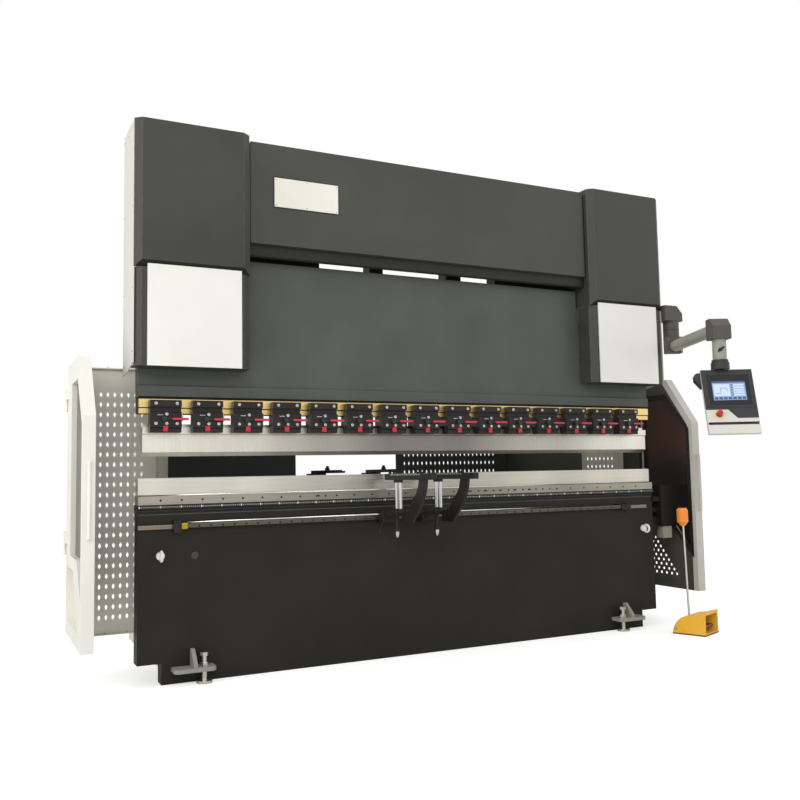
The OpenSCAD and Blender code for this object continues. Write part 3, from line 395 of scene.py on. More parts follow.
# the two guards are one paint: the left guard's copy is painted lighter as painted light, the right guard's copy darker
# as painted shade
guardCoat = paintFinish("guardCoat", (240, 238, 230), (228, 225, 216), (250, 248, 243), wearAndHighlight=0.2,
                        zone=insideGuards, zoneTones=((80, 77, 71), (64, 61, 55)))
guardShadedCopy = paintFinish("guardShadedCopy", (208, 206, 198), (194, 191, 182), (226, 224, 217), wearAndHighlight=0.2,
                        zone=insideGuards, zoneTones=((80, 77, 71), (64, 61, 55)))
whiteCoat = paintFinish("whiteCoat", (244, 244, 237), (234, 234, 226), (252, 252, 249), wearAndHighlight=0.15)
lightCoat = paintFinish("lightCoat", (222, 220, 208), (206, 203, 190), (240, 238, 230), wearAndHighlight=0.25)
greyCoat = paintFinish("greyCoat", (244, 240, 230), (230, 226, 214), (250, 248, 242), wearAndHighlight=0.2)
blackMetal = paintFinish("blackMetal", (36, 35, 32), (25, 24, 22), (74, 72, 67), gloss=(0.34, 0.5), wearAndHighlight=0.4)
driveCoat = paintFinish("driveCoat", (30, 29, 27), (20, 19, 18), (64, 62, 58), wearAndHighlight=0.4, specular=0.2, zone=drivePlug,
                        zoneTones=((168, 162, 152), (148, 142, 132)))
clampBlack = paintFinish("clampBlack", (38, 36, 33), (26, 25, 22), (92, 88, 82), gloss=(0.3, 0.46), wearAndHighlight=0.5,
                         patch=9, radius=0.002)
armPlastic = paintFinish("armPlastic", (94, 88, 86), (78, 73, 71), (118, 113, 110), gloss=(0.5, 0.62), wearAndHighlight=0.3)
tubeCoat = paintFinish("tubeCoat", (162, 161, 149), (146, 145, 133), (208, 207, 197), gloss=(0.3, 0.42), wearAndHighlight=0.1)
boxCoat = paintFinish("boxCoat", (62, 61, 63), (48, 47, 50), (90, 89, 90), wearAndHighlight=0.2, zone=lightPanel,
                      zoneTones=((226, 223, 215), (212, 209, 200)))
redPlastic = paintFinish("redPlastic", (206, 44, 56), (184, 32, 44), (226, 104, 112), gloss=(0.24, 0.38), coat=0.3)
yellowPlastic = paintFinish("yellowPlastic", (250, 196, 70), (238, 178, 50), (250, 216, 130), gloss=(0.3, 0.42))
orangePlastic = paintFinish("orangePlastic", (255, 200, 72), (252, 186, 54), (255, 222, 140), gloss=(0.34, 0.48))
stopOrange = paintFinish("stopOrange", (240, 110, 40), (224, 92, 28), (250, 160, 100), gloss=(0.4, 0.55))
pedalRubber = paintFinish("pedalRubber", (52, 56, 66), (38, 41, 48), (84, 88, 96), gloss=(0.6, 0.75), bump=0.2)
groundSteel = metalFinish("groundSteel", (226, 221, 210), (218, 212, 200), (240, 237, 230), acrossGrain, wideGlintBands)
# punch, die and holder: their darker middle is a painted reflection
punchSteel = metalFinish("punchSteel", (240, 234, 224), (230, 224, 212), (248, 246, 240), acrossGrain, wideGlintBands,
                         middle=(0.25, 1.35, 0.28))
dieSteel = metalFinish("dieSteel", (232, 226, 214), (220, 214, 201), (246, 242, 234), alongGrain, wideGlintBands,
                       middle=(0.25, 1.35, 0.66))
holderSteel = metalFinish("holderSteel", (180, 174, 162), (164, 158, 145), (222, 217, 206), alongGrain, wideGlintBands,
                          middle=(0.25, 1.35, 0.62))
railMetal = metalFinish("railMetal", (156, 143, 132), (130, 118, 107), (200, 192, 183), alongGrain, wideGlintBands,
                        middle=(1.375, 1.395, 0.35))
brassMetal = metalFinish("brassMetal", (246, 216, 152), (234, 202, 132), (252, 232, 184), alongGrain, wideGlintBands,
                         gloss=(0.3, 0.45))
collarBrass = metalFinish("collarBrass", (206, 176, 62), (186, 152, 44), (246, 216, 130), alongGrain, wideGlintBands)
chromeMetal = metalFinish("chromeMetal", (232, 232, 230), (220, 220, 217), (244, 244, 244), acrossGrain,
                          (0.1, 0.1, 0.1), gloss=(0.08, 0.18), bump=0.01, wearAndHighlight=0.1)
boltMetal = metalFinish("boltMetal", (220, 217, 210), (190, 187, 180), (240, 238, 234), (60.0, 60.0, 60.0),
                        (0.1, 0.1, 0.1), gloss=(0.2, 0.34), wearAndHighlight=0.2)


def stickFinish():
    # chromed stick below, orange knob above
    finish, tree, shader = startFinish("stickMetal")
    knob = useMath(tree, "GREATER_THAN", objectAxis(tree, "Z"), 0.6395)
    mottle = placeGroup(tree, mottleGroup, **{"Patch Scale": 14, "Grain Scale": 500, "Grain Share": 0.4})
    orange = mixTones(tree, mottle.outputs["Mask"], shade((244, 130, 38)), shade((255, 158, 66)))
    metal = mixTones(tree, mottle.outputs["Mask"], shade((206, 200, 192)), shade((230, 226, 220)))
    tree.links.new(mixTones(tree, knob, metal, orange), shader.inputs["Base Color"])
    tree.links.new(useMath(tree, "SUBTRACT", 1.0, knob), shader.inputs["Metallic"])
    tree.links.new(stretchRange(tree, mottle.outputs["Mask"], 0.3, 0.7, 0.24, 0.42), shader.inputs["Roughness"])
    return finish


stickMetal = stickFinish()


def screenFinish(name, first, second, glow):
    # lit screen or black glass
    finish, tree, shader = startFinish(name)
    mottle = placeGroup(tree, mottleGroup, **{"Patch Scale": 9, "Grain Scale": 900, "Grain Share": 0.2})
    tone = mixTones(tree, mottle.outputs["Mask"], shade(first), shade(second))
    tree.links.new(tone, shader.inputs["Base Color"])
    if glow:
        tree.links.new(tone, shader.inputs["Emission Color"])
        shader.inputs["Emission Strength"].default_value = glow
    tree.links.new(stretchRange(tree, mottle.outputs["Mask"], 0.3, 0.7, 0.1, 0.18), shader.inputs["Roughness"])
    return finish


screenBlack = screenFinish("screenBlack", (8, 10, 14), (12, 14, 20), 0)
pictureBlue = screenFinish("pictureBlue", (120, 148, 190), (142, 168, 206), 0.2)
pictureWhite = screenFinish("pictureWhite", (190, 206, 228), (206, 220, 238), 0.2)
pictureDark = screenFinish("pictureDark", (56, 78, 122), (74, 98, 146), 0.1)


def windowFinish():
    # brown tinted sheet, darker towards the bottom as a painted reflection
    finish, tree, shader = startFinish("tintedSheet")
    mottle = placeGroup(tree, mottleGroup, **{"Patch Scale": 2, "Grain Scale": 90, "Grain Share": 0.1})
    tone = mixTones(tree, mottle.outputs["Mask"], shade((58, 38, 27)), shade((72, 47, 34)))
    # painted reflection: below this height the sheet goes dark
    clear = stretchRange(tree, objectAxis(tree, "Z"), 1.0, 1.12, 0, 1)
    tree.links.new(mixTones(tree, clear, shade((22, 16, 12)), tone), shader.inputs["Base Color"])
    tree.links.new(stretchRange(tree, mottle.outputs["Mask"], 0.3, 0.7, 0.1, 0.18), shader.inputs["Roughness"])
    shader.inputs["Alpha"].default_value = 0.93
    shader.inputs["Specular IOR Level"].default_value = 0.25
    return finish


tintedSheet = windowFinish()


def leverFinish():
    # black hub and arm, red grip: the grip starts a set way right of each hub
    lever = {"first": -1.488, "step": 0.2052, "gripStart": 0.038}
    finish, tree, shader = startFinish("leverGrip")
    coords = addNode(tree, "TexCoord")
    parts = addNode(tree, "SeparateXYZ")
    tree.links.new(coords.outputs["Object"], parts.inputs["Vector"])
    shift = addNode(tree, "Math", operation="SUBTRACT")
    shift.inputs[1].default_value = lever["first"] - 0.05
    tree.links.new(parts.outputs["X"], shift.inputs[0])
    wrap = addNode(tree, "Math", operation="MODULO")
    wrap.inputs[1].default_value = lever["step"]
    tree.links.new(shift.outputs["Value"], wrap.inputs[0])
    grip = addNode(tree, "Math", operation="GREATER_THAN")
    grip.inputs[1].default_value = 0.05 + lever["gripStart"]
    tree.links.new(wrap.outputs["Value"], grip.inputs[0])
    mottle = placeGroup(tree, mottleGroup, **{"Patch Scale": 20, "Grain Scale": 600, "Grain Share": 0.4})
    red = mixTones(tree, mottle.outputs["Mask"], shade((188, 34, 50)), shade((222, 66, 80)))
    tree.links.new(mixTones(tree, grip.outputs["Value"], shade((34, 33, 31)), red), shader.inputs["Base Color"])
    tree.links.new(stretchRange(tree, mottle.outputs["Mask"], 0.3, 0.7, 0.24, 0.4), shader.inputs["Roughness"])
    return finish


leverGrip = leverFinish()

slotFinish = {
    "dark_paint": darkCoat, "bed_paint": bedCoat, "ram_paint": ramCoat, "white_paint": whiteCoat,
    "light_paint": lightCoat, "grey_paint": greyCoat, "black_metal": blackMetal, "steel": groundSteel,
    "chrome": chromeMetal, "brass": brassMetal, "rail_metal": railMetal, "window": tintedSheet,
    "arm_plastic": armPlastic, "tube_paint": tubeCoat, "box_paint": boxCoat, "red": redPlastic,
    "orange": orangePlastic, "pedal": pedalRubber,
}
nodeFinish = {
    "die_holder": holderSteel, "die": dieSteel, "punch": punchSteel, "crossbeam": crossCoat, "machine_frame": frameCoat, "guard_left": guardCoat,
    "guard_right": guardShadedCopy, "floor_feet": feetCoat, "crowning_drive": driveCoat, "clamps": clampBlack,
    "foot_rod": stickMetal, "lifting_eyes": whiteCoat, "rear_guard": ramCoat, "gauge_beam": ramCoat,
}


def dressNodes():
    for part in frame["record"]["subparts"]:
        name = part["node"]
        finish = nodeFinish.get(name, slotFinish[part["material_slot"]])
        if name.startswith("lever_"):
            finish = leverGrip
        mesh = nodes[name].data
        mesh.materials.clear()
        mesh.materials.append(finish)


dressNodes()
print("finishes on the frame")


# small tools for the added pieces
def turnTo(direction):
    return Vector((0, 0, 1)).rotation_difference(Vector(direction).normalized()).to_matrix().to_4x4()


def addSlab(bm, low, high, edge=0.0, steps=2, turn=None):
    # block between two corners, its edges rounded
    verts = bmesh.ops.create_cube(bm, size=1.0)["verts"]
    bmesh.ops.scale(bm, vec=high - low, verts=verts)
    bmesh.ops.translate(bm, vec=(high + low) / 2, verts=verts)
    if edge:
        edges = list({e for v in verts for e in v.link_edges})
        made = bmesh.ops.bevel(bm, geom=edges, offset=edge / 1000, offset_type="OFFSET", segments=steps,
                               profile=0.5, affect="EDGES", clamp_overlap=True, material=-1)
        verts = made["verts"]
    return verts


def addBar(bm, start, end, radius, steps=16, edge=0.0):
    # round bar with softened ends
    line = end - start
    matrix = Matrix.Translation((start + end) / 2) @ turnTo(line)
    verts = bmesh.ops.create_cone(bm, cap_ends=True, cap_tris=False, segments=steps, radius1=radius / 1000,
                                  radius2=radius / 1000, depth=line.length, matrix=matrix)["verts"]
    if edge:
        caps = {f for v in verts for f in v.link_faces if len(f.verts) == steps}
        edges = list({e for f in caps for e in f.edges})
        bmesh.ops.bevel(bm, geom=edges, offset=edge / 1000, offset_type="OFFSET", segments=2, profile=0.5,
                        affect="EDGES", clamp_overlap=True, material=-1)


def addScrew(bm, seat, outward, radius, height, sides=12, recess=0.5):
    # cap screw with a socket in its head
    outward = Vector(outward).normalized()
    matrix = Matrix.Translation(seat + outward * height / 2000) @ turnTo(outward)
    verts = bmesh.ops.create_cone(bm, cap_ends=True, cap_tris=False, segments=sides, radius1=radius / 1000,
                                  radius2=radius * 0.94 / 1000, depth=height / 1000, matrix=matrix)["verts"]
    cap = max((f for f in {f for v in verts for f in v.link_faces} if len(f.verts) == sides),
              key=lambda f: f.calc_center_median().dot(outward))
    if recess:
        bmesh.ops.inset_region(bm, faces=[cap], thickness=radius * (1 - recess) / 1000, depth=0)
        made = bmesh.ops.extrude_face_region(bm, geom=[cap])
        sunk = [v for v in made["geom"] if isinstance(v, bmesh.types.BMVert)]
        bmesh.ops.delete(bm, geom=[cap], context="FACES_ONLY")
        bmesh.ops.translate(bm, vec=-outward * height * 0.6 / 1000, verts=sunk)


def addTurned(bm, profile, centre, axis, steps=32):
    # outline of (radius, distance along the axis) in mm, spun once round
    matrix = Matrix.Translation(centre) @ turnTo(axis)
    verts = [bm.verts.new(matrix @ Vector((r / 1000, 0, h / 1000))) for r, h in profile]
    edges = [bm.edges.new(pair) for pair in zip(verts, verts[1:])]
    bmesh.ops.spin(bm, geom=verts + edges, cent=centre, axis=matrix.to_3x3() @ Vector((0, 0, 1)),
                   angle=math.tau, steps=steps, use_merge=True, use_duplicate=False)


def finishPiece(name, bm, material, body, smooth=False, mend=True, place=None):
    if place:
        bmesh.ops.transform(bm, matrix=place, verts=bm.verts[:])
    if mend:
        bmesh.ops.remove_doubles(bm, verts=bm.verts[:], dist=1e-6)
        bmesh.ops.recalc_face_normals(bm, faces=bm.faces[:])
    mesh = bpy.data.meshes.new(name)
    bm.to_mesh(mesh)
    bm.free()
    piece = bpy.data.objects.new(name, mesh)
    scene.collection.objects.link(piece)
    mesh.materials.append(material)
    if smooth:
        for face in mesh.polygons:
            face.use_smooth = True
    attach(piece, body)
    return piece


# clamps on the ram: screws, marks, red tabs, pins between them
clampRow = {
    "first": -1553, "step": 205.2, "count": 15, "faceY": -50, "wide": 151,
    "upperScrewZ": 1346, "lowerScrewZ": 1248, "screwXs": (27, 78, 128), "screwRadius": 8.5,
    "markZ": 1292, "tabZ": (1210, 1237), "tabWide": 24,
}


def makeClampDetails(row):  # all on the ram
    screws, marks, tabs, pins = (bmesh.new() for _ in range(4))
    for i in range(row["count"]):
        left = row["first"] + i * row["step"]
        face = row["faceY"]
        for x in (row["screwXs"][0], row["screwXs"][2]):
            addScrew(screws, at(left + x, face, row["upperScrewZ"]), (0, -1, 0), row["screwRadius"], 6)
        for x in row["screwXs"]:
            addScrew(screws, at(left + x, face, row["lowerScrewZ"]), (0, -1, 0), row["screwRadius"], 6)
        addScrew(marks, at(left + 78, face, row["markZ"] + 2), (0, -1, 0), 8.5, 5, sides=16, recess=0.6)
        addSlab(marks, at(left + 34, face - 1.5, row["markZ"] - 4), at(left + 62, face, row["markZ"]), 0.6, 1)
        mid = left + 73
        addSlab(tabs, at(mid - row["tabWide"] / 2, face - 5, row["tabZ"][0]),
                at(mid + row["tabWide"] / 2, face + 8.5, row["tabZ"][1]), 2.5, 2)
        addBar(pins, at(left + row["wide"] + 9, -8, 1262), at(left + row["wide"] + 9, -8, 1302), 7, 12, 1.5)
        addBar(pins, at(left + row["wide"] - 1, -8, 1270), at(left + row["wide"] + 9, -8, 1270), 4, 10)
    finishPiece("clampScrews", screws, boltMetal, "ram")
    finishPiece("clampMarks", marks, boltMetal, "ram")
    finishPiece("clampTabs", tabs, redPlastic, "ram")
    finishPiece("clampPins", pins, chromeMetal, "ram")


makeClampDetails(clampRow)
print("clamps dressed")

# bed front: holder screws, scale, rail screws, plug
bedFront = {
    "holderScrewZ": 877, "holderStep": 102, "holderFirst": -1494, "holderLast": 1560,
    "extraScrews": (-688, -640, 251, 302, 353, 404, 455, 506, 557, 608, 659, 701, 802),
    "scaleZ": (842, 848), "railScrewFirst": -1312, "railScrewStep": 59.5, "railScrewCount": 44,
    "plug": (-1326, 604, 18), "lipZ": 902, "glintZ": 811,
}


def makeBedDetails(front):
    screws, ticks, railScrews = (bmesh.new() for _ in range(3))
    x = front["holderFirst"]
    places = []
    while x < front["holderLast"]:
        places.append(x)
        x += front["holderStep"]
    for x in places + list(front["extraScrews"]):
        addScrew(screws, at(x, -8, front["holderScrewZ"]), (0, -1, 0), 5.5, 0.8, sides=10, recess=0.6)
    finishPiece("holderScrews", screws, blackMetal, "machine")
    low, high = front["scaleZ"]
    for i in range(320):
        x = -1595 + i * 10
        tall = 0 if i % 10 else 2
        wide = 1.2 if i % 10 else 3
        addSlab(ticks, at(x - wide, -12.4, low - tall), at(x + wide, -11.9, high + tall))
    finishPiece("bendScale", ticks, whiteCoat, "machine")
    for i in range(front["railScrewCount"]):
        x = front["railScrewFirst"] + i * front["railScrewStep"]
        addScrew(railScrews, at(x, -28, 750), (0, -1, 0), 6, 0.6, sides=12, recess=0.65)
    finishPiece("railScrews", railScrews, blackMetal, "machine")
    plug = bmesh.new()
    x, z, r = front["plug"]
    addTurned(plug, [(0, 3), (r - 4, 3), (r, 1), (r, -1), (0, -1)], at(x, 0, z), (0, -1, 0), 28)
    finishPiece("bedPlug", plug, darkCoat, "machine", smooth=False)
    rod = bmesh.new()
    addBar(rod, at(-1373, -16, 768), at(1327, -16, 768), 5, 16)
    finishPiece("railRod", rod, chromeMetal, "machine", smooth=True)
    collar, lip, glintStrip = (bmesh.new() for _ in range(3))
    addSlab(collar, at(-1398, -34, 736), at(-1368, -1, 766), 2, 2)
    finishPiece("railCollar", collar, collarBrass, "machine")
    addBar(lip, at(-1598, -6, front["lipZ"] - 1), at(1598, -6, front["lipZ"] - 1), 3.5, 16)
    finishPiece("groundLip", lip, chromeMetal, "machine", smooth=True)
    # a thin lighter strip under the crowning channel, a painted highlight where the channel's lower edge catches light
    addSlab(glintStrip, at(-1598, -1.2, front["glintZ"] - 4), at(1598, 0.4, front["glintZ"]), 0.5, 1)
    finishPiece("bedEdgeGlint", glintStrip, ramCoat, "machine")


makeBedDetails(bedFront)
print("bed dressed")

# bare plate on the crossbeam
plate = {"left": -935, "right": -579, "low": 2377, "high": 2532, "faceY": -85, "thick": 4}


def makePlate(p):
    rim, face, rivets = (bmesh.new() for _ in range(3))
    addSlab(rim, at(p["left"] - 5, p["faceY"] - 2, p["low"] - 5), at(p["right"] + 5, p["faceY"], p["high"] + 5), 1, 2)
    addSlab(face, at(p["left"], p["faceY"] - p["thick"], p["low"]), at(p["right"], p["faceY"] - 1, p["high"]), 1.2, 2)
    for x in (p["left"] + 9, (p["left"] + p["right"]) / 2, p["right"] - 9):
        for z in (p["low"] + 9, p["high"] - 9):
            addTurned(rivets, [(0, 2.2), (2.2, 1.8), (3.6, 0), (3.6, -1), (0, -1)],
                      at(x, p["faceY"] - p["thick"], z), (0, -1, 0), 12)
    finishPiece("plateRim", rim, blackMetal, "machine")
    finishPiece("plateFace", face, greyCoat, "machine")
    finishPiece("plateRivets", rivets, boltMetal, "machine")


makePlate(plate)

# side guards: gaskets round the windows with small screws
guardDetails = {
    "outline": ((-130, 416), (-130, 1240), (69, 1478), (338, 1478), (338, 597), (43, 597)),
    "innerX": 1813, "gasketWide": 27, "gasketThick": 3,
    "screws": ((-123, 470), (-123, 640), (-123, 900), (-123, 1090), (-123, 1215), (-30, 1350), (60, 1455),
               (110, 1474), (210, 1474), (310, 1474), (334, 1300), (334, 1050), (334, 800), (334, 620)),
}


def makeGasket(name, side, d):
    # band that follows the window's outline, laid on the inner face
    bm = bmesh.new()
    x = side * d["innerX"]
    verts = [bm.verts.new(at(x, y, z)) for y, z in d["outline"]]
    face = bm.faces.new(verts)
    bm.normal_update()
    bmesh.ops.inset_region(bm, faces=[face], thickness=d["gasketWide"] / 1000, depth=0,
                           use_boundary=True, use_even_offset=True)
    bmesh.ops.delete(bm, geom=[face], context="FACES")
    bmesh.ops.recalc_face_normals(bm, faces=bm.faces[:])
    bmesh.ops.solidify(bm, geom=bm.faces[:], thickness=d["gasketThick"] / 1000)
    lean = side * (-d["gasketThick"] / 2) / 1000
    mean = sum((v.co.x for v in bm.verts)) / len(bm.verts)
    bmesh.ops.translate(bm, vec=Vector((x / 1000 + lean - mean, 0, 0)), verts=bm.verts[:])
    body = "guard_right" if side > 0 else "guard_left"
    finishPiece(name, bm, blackMetal, body)


for side, label in ((-1, "Left"), (1, "Right")):
    makeGasket("windowGasket" + label, side, guardDetails)
    guardScrews = bmesh.new()
    for y, z in guardDetails["screws"]:
        addScrew(guardScrews, at(side * guardDetails["innerX"], y + (6 if y < 0 else 0), z), (-side, 0, 0), 5, 3)
    finishPiece("guardScrews" + label, guardScrews, boltMetal, "guard_right" if side > 0 else "guard_left")
print("guards dressed")

# operator panel, drawn flat in its own frame: x across, y into the face, z up from its top edge
panelDetails = {
    "glass": (-111.5, 114.5, -214.5, -34.5), "picture": (-88, 91, -184, -66), "stop": (-71, -266), "ring": 22,
    "rows": 5, "keys": 7, "leverZ": 1640, "tubeRadius": 38,
}


def flatSlab(bm, x0, x1, z0, z1, y0, y1, edge=0.0):
    addSlab(bm, Vector((x0, y0, z0)) / 1000, Vector((x1, y1, z1)) / 1000, edge, 1)


def makePanelDetails(d):
    glass, picture, boxes, lines, ring, guard, tubeLever = (bmesh.new() for _ in range(7))
    flatSlab(glass, *d["glass"], -0.4, 1.2, 0.3)
    x0, x1, z0, z1 = d["picture"]
    flatSlab(picture, x0, x1, z0, z1 - 14, -0.7, -0.2)
    flatSlab(boxes, x0 + 6, x0 + 94, z0 + 24, z1 - 22, -0.9, -0.6)
    for i in range(d["rows"]):
        top = z1 - 22 - i * 15
        flatSlab(boxes, x1 - 66, x1 - 8, top - 11, top, -0.9, -0.6)
        flatSlab(lines, x1 - 78, x1 - 70, top - 8, top - 3, -0.9, -0.6)
    for i in range(d["keys"]):
        flatSlab(lines, x0 + 6 + i * 25, x0 + 24 + i * 25, z0 + 4, z0 + 18, -0.9, -0.6)
    flatSlab(lines, x0, x1, z1 - 12, z1 - 4, -0.7, -0.2)
    # outline of a bent sheet in the drawing field
    for ax, az, bx, bz in ((14, 40, 44, 40), (44, 40, 44, 72), (44, 72, 78, 72), (78, 72, 78, 52)):
        flatSlab(lines, x0 + ax - 1, x0 + bx + 1, z0 + min(az, bz) - 1, z0 + max(az, bz) + 1, -1.1, -0.8)
    stopX, stopZ = d["stop"]
    centre = Vector((stopX, 0, stopZ)) / 1000
    addTurned(ring, [(16.5, -0.3), (d["ring"], -0.3), (d["ring"], 1.2), (d["ring"] - 0.8, 1.8), (16.5, 1.8), (16.5, -0.3)],
              centre, (0, -1, 0), 40)
    addTurned(guard, [(7, -0.3), (16.4, -0.3), (16.4, 1.4), (11, 2), (11, 6.5), (10, 7.5), (7, 7.5), (7, -0.3)],
              centre, (0, -1, 0), 36)
    finishPiece("screenGlass", glass, screenBlack, "pendant_head", place=panelFrame)
    finishPiece("screenPicture", picture, pictureBlue, "pendant_head", place=panelFrame)
    finishPiece("screenFields", boxes, pictureWhite, "pendant_head", place=panelFrame)
    finishPiece("screenLines", lines, pictureDark, "pendant_head", place=panelFrame)
    finishPiece("stopRing", ring, yellowPlastic, "pendant_head", place=panelFrame)
    finishPiece("stopCollar", guard, blackMetal, "pendant_head", place=panelFrame)
    front = -d["tubeRadius"]
    z = d["leverZ"]
    addTurned(tubeLever, [(0, -2), (10, -2), (10, 4), (8.5, 5.5), (0, 5.5)], Vector((-6, front, z)) / 1000, (0, -1, 0), 24)
    addBar(tubeLever, Vector((-20, front - 4, z - 11)) / 1000, Vector((16, front - 4, z + 15)) / 1000, 4.5, 14, 1.5)
    finishPiece("tubeLever", tubeLever, blackMetal, "pendant_head", place=dropFrame)


makePanelDetails(panelDetails)

# rings and screws on the cast elbows of the pendant
elbowDetails = {"jointZ": 1874, "kneeZ": 1825, "reach": 748, "elbowTop": 1818, "tubeZ": 1765, "tubeEnd": -698}


def makeElbowDetails(d):
    seams, screws, cuff = (bmesh.new() for _ in range(3))
    armFrame = Matrix.Translation(at(*panelPlace["pivot"], 0)) @ Matrix.Rotation(
        -math.radians(panelPlace["armTurn"]), 4, "Z")
    for z in (d["jointZ"], d["kneeZ"]):
        addTurned(seams, [(48.5, -1.6), (50.7, -1.6), (50.7, 1.6), (48.5, 1.6), (48.5, -1.6)],
                  Vector((0, 0, z)) / 1000, (0, 0, 1), 48)
    for x in (-40, 40):
        for y in (-d["reach"] + 38, -d["reach"] + 2):
            addScrew(screws, Vector((x, y, d["elbowTop"])) / 1000, (0, 0, 1), 4.5, 2.5)
        for z in (1735, 1808):
            addScrew(screws, Vector((x, -60, z)) / 1000, (0, -1, 0), 4, 2)
    addTurned(cuff, [(35, 0), (39.5, 0), (39.5, 8), (38, 9.5), (35, 9.5), (35, 0)],
              Vector((0, d["tubeEnd"], d["tubeZ"])) / 1000, (0, 1, 0), 40)
    addTurned(cuff, [(35, 0), (39.5, 0), (39.5, 8), (38, 9.5), (35, 9.5), (35, 0)],
              Vector((0, -60, d["tubeZ"])) / 1000, (0, -1, 0), 40)
    finishPiece("elbowSeams", seams, blackMetal, "pendant_arm", place=armFrame)
    finishPiece("elbowScrews", screws, boltMetal, "pendant_arm", place=armFrame)
    finishPiece("tubeCuffs", cuff, armPlastic, "pendant_arm", place=armFrame)


makeElbowDetails(elbowDetails)
print("pendant dressed")

# support arms: chromed posts, pointed ends, light strip and bolts on the bar, clamping levers
supportDetails = {
    "posts": (-145, -190), "postZ": (800, 938), "tip": 680, "barTop": 984,
    "strip": (-440, -100), "bolts": (-434, -402, -120, -70),
    "arms": {"left": (-290, (-46, -70, 734), (-84, -96, 668)), "right": (-50, (46, -66, 772), (96, -84, 788))},
}


def makeSupportDetails(side, d):
    x, leverStart, leverEnd = d["arms"][side]
    body = "support_" + side
    sleeves, strip, bolts, lever = (bmesh.new() for _ in range(4))
    for y in d["posts"]:
        addBar(sleeves, at(x, y, d["postZ"][0]), at(x, y, d["postZ"][1]), 9.8, 24)
    addTurned(sleeves, [(0, 1), (12, 1), (12, -14), (9, -25), (3, -33), (0, -33)],
              at(x, d["posts"][0], d["tip"]), (0, 0, 1), 24)
    back, front = d["strip"]
    addSlab(strip, at(x - 15, back, d["barTop"] - 9), at(x - 13, front, d["barTop"] - 1), 0.4, 1)
    for y in d["bolts"]:
        addScrew(bolts, at(x, y, d["barTop"]), (0, 0, 1), 9, 10, sides=16)
    for z in (d["barTop"] - 216, d["barTop"] - 238):
        for side2 in (-30, 30):
            addScrew(bolts, at(x + side2, -75, z), (0, -1, 0), 5.5, 4)
    start = Vector(leverStart)
    stop = Vector(leverEnd)
    addBar(lever, at(x + start.x, start.y, start.z), at(x + stop.x, stop.y, stop.z), 4, 14, 1)
    grip = start.lerp(stop, 0.55)
    addBar(lever, at(x + grip.x, grip.y, grip.z), at(x + stop.x, stop.y, stop.z), 6, 16, 2)
    name = side.capitalize()
    finishPiece("postSleeves" + name, sleeves, chromeMetal, body, smooth=False)
    finishPiece("barStrip" + name, strip, boltMetal, body)
    finishPiece("barBolts" + name, bolts, blackMetal, body)
    finishPiece("clampLever" + name, lever, blackMetal, body)


for side in ("left", "right"):
    makeSupportDetails(side, supportDetails)
print("supports dressed")

# foot switch, in the frame of its front left corner
switchDetails = {"corner": (1550, -456), "turn": 22, "wide": 193, "long": 200, "ribs": (30, 37, 44, 51, 58)}


def makeSwitchDetails(d):
    place = Matrix.Translation(at(*d["corner"], 0)) @ Matrix.Rotation(math.radians(d["turn"]), 4, "Z")
    base, ribs, bolts, toe = (bmesh.new() for _ in range(4))
    addSlab(toe, Vector((62, 21, 43)) / 1000, Vector((148, 27, 51)) / 1000, 1.5, 2)
    finishPiece("pedalToe", toe, stopOrange, "foot_pedal", place=place)
    addSlab(base, Vector((-1.5, -1.5, 0)) / 1000, Vector((d["wide"] + 1.5, d["long"] + 1.5, 7)) / 1000, 1.5, 2)
    for y in d["ribs"]:
        z = 54 - (y - 26) * 4 / 34
        addBar(ribs, Vector((32, y, z)) / 1000, Vector((161, y, z)) / 1000, 1.8, 10)
    for x, out in ((0, -1), (d["wide"], 1)):
        addTurned(bolts, [(0, -1), (9, -1), (9, 1.5), (7.5, 3), (0, 3)], Vector((x, 180, 33)) / 1000, (out, 0, 0), 24)
        for y in (22, 120):
            addScrew(bolts, Vector((x, y, 22)) / 1000, (out, 0, 0), 4, 2)
    finishPiece("switchBase", base, pedalRubber, "machine", place=place)
    finishPiece("pedalRibs", ribs, pedalRubber, "foot_pedal", place=place)
    finishPiece("switchBolts", bolts, boltMetal, "machine", place=place)


makeSwitchDetails(switchDetails)
print("foot switch dressed")

# fixings on the housing, the perforated panels, the covers and the back
fixings = {
    "housing": ((1672, -20, 632), (1746, -20, 632), (1672, -20, 862), (1746, -20, 862), (1709, -20, 747)),
    "flangeXs": (1460, 1570, 1680, 1776), "flangeY": 489, "flangeTop": 1573, "flangeLow": 184,
    "sideX": 1645, "sides": ((-80, 2690), (60, 2690), (160, 2690), (-80, 2300), (-80, 1900), (-80, 1590),
                             (160, 2300), (160, 1900), (160, 1540)),
    "rearGuard": (-1330, -900, -450, 560, 980, 1330), "rearY": 1350, "rearZs": (435, 1235),
    "tieXs": (-1300, -1230, 1230, 1300), "tieZs": (120, 300), "tieY": 1330,
}


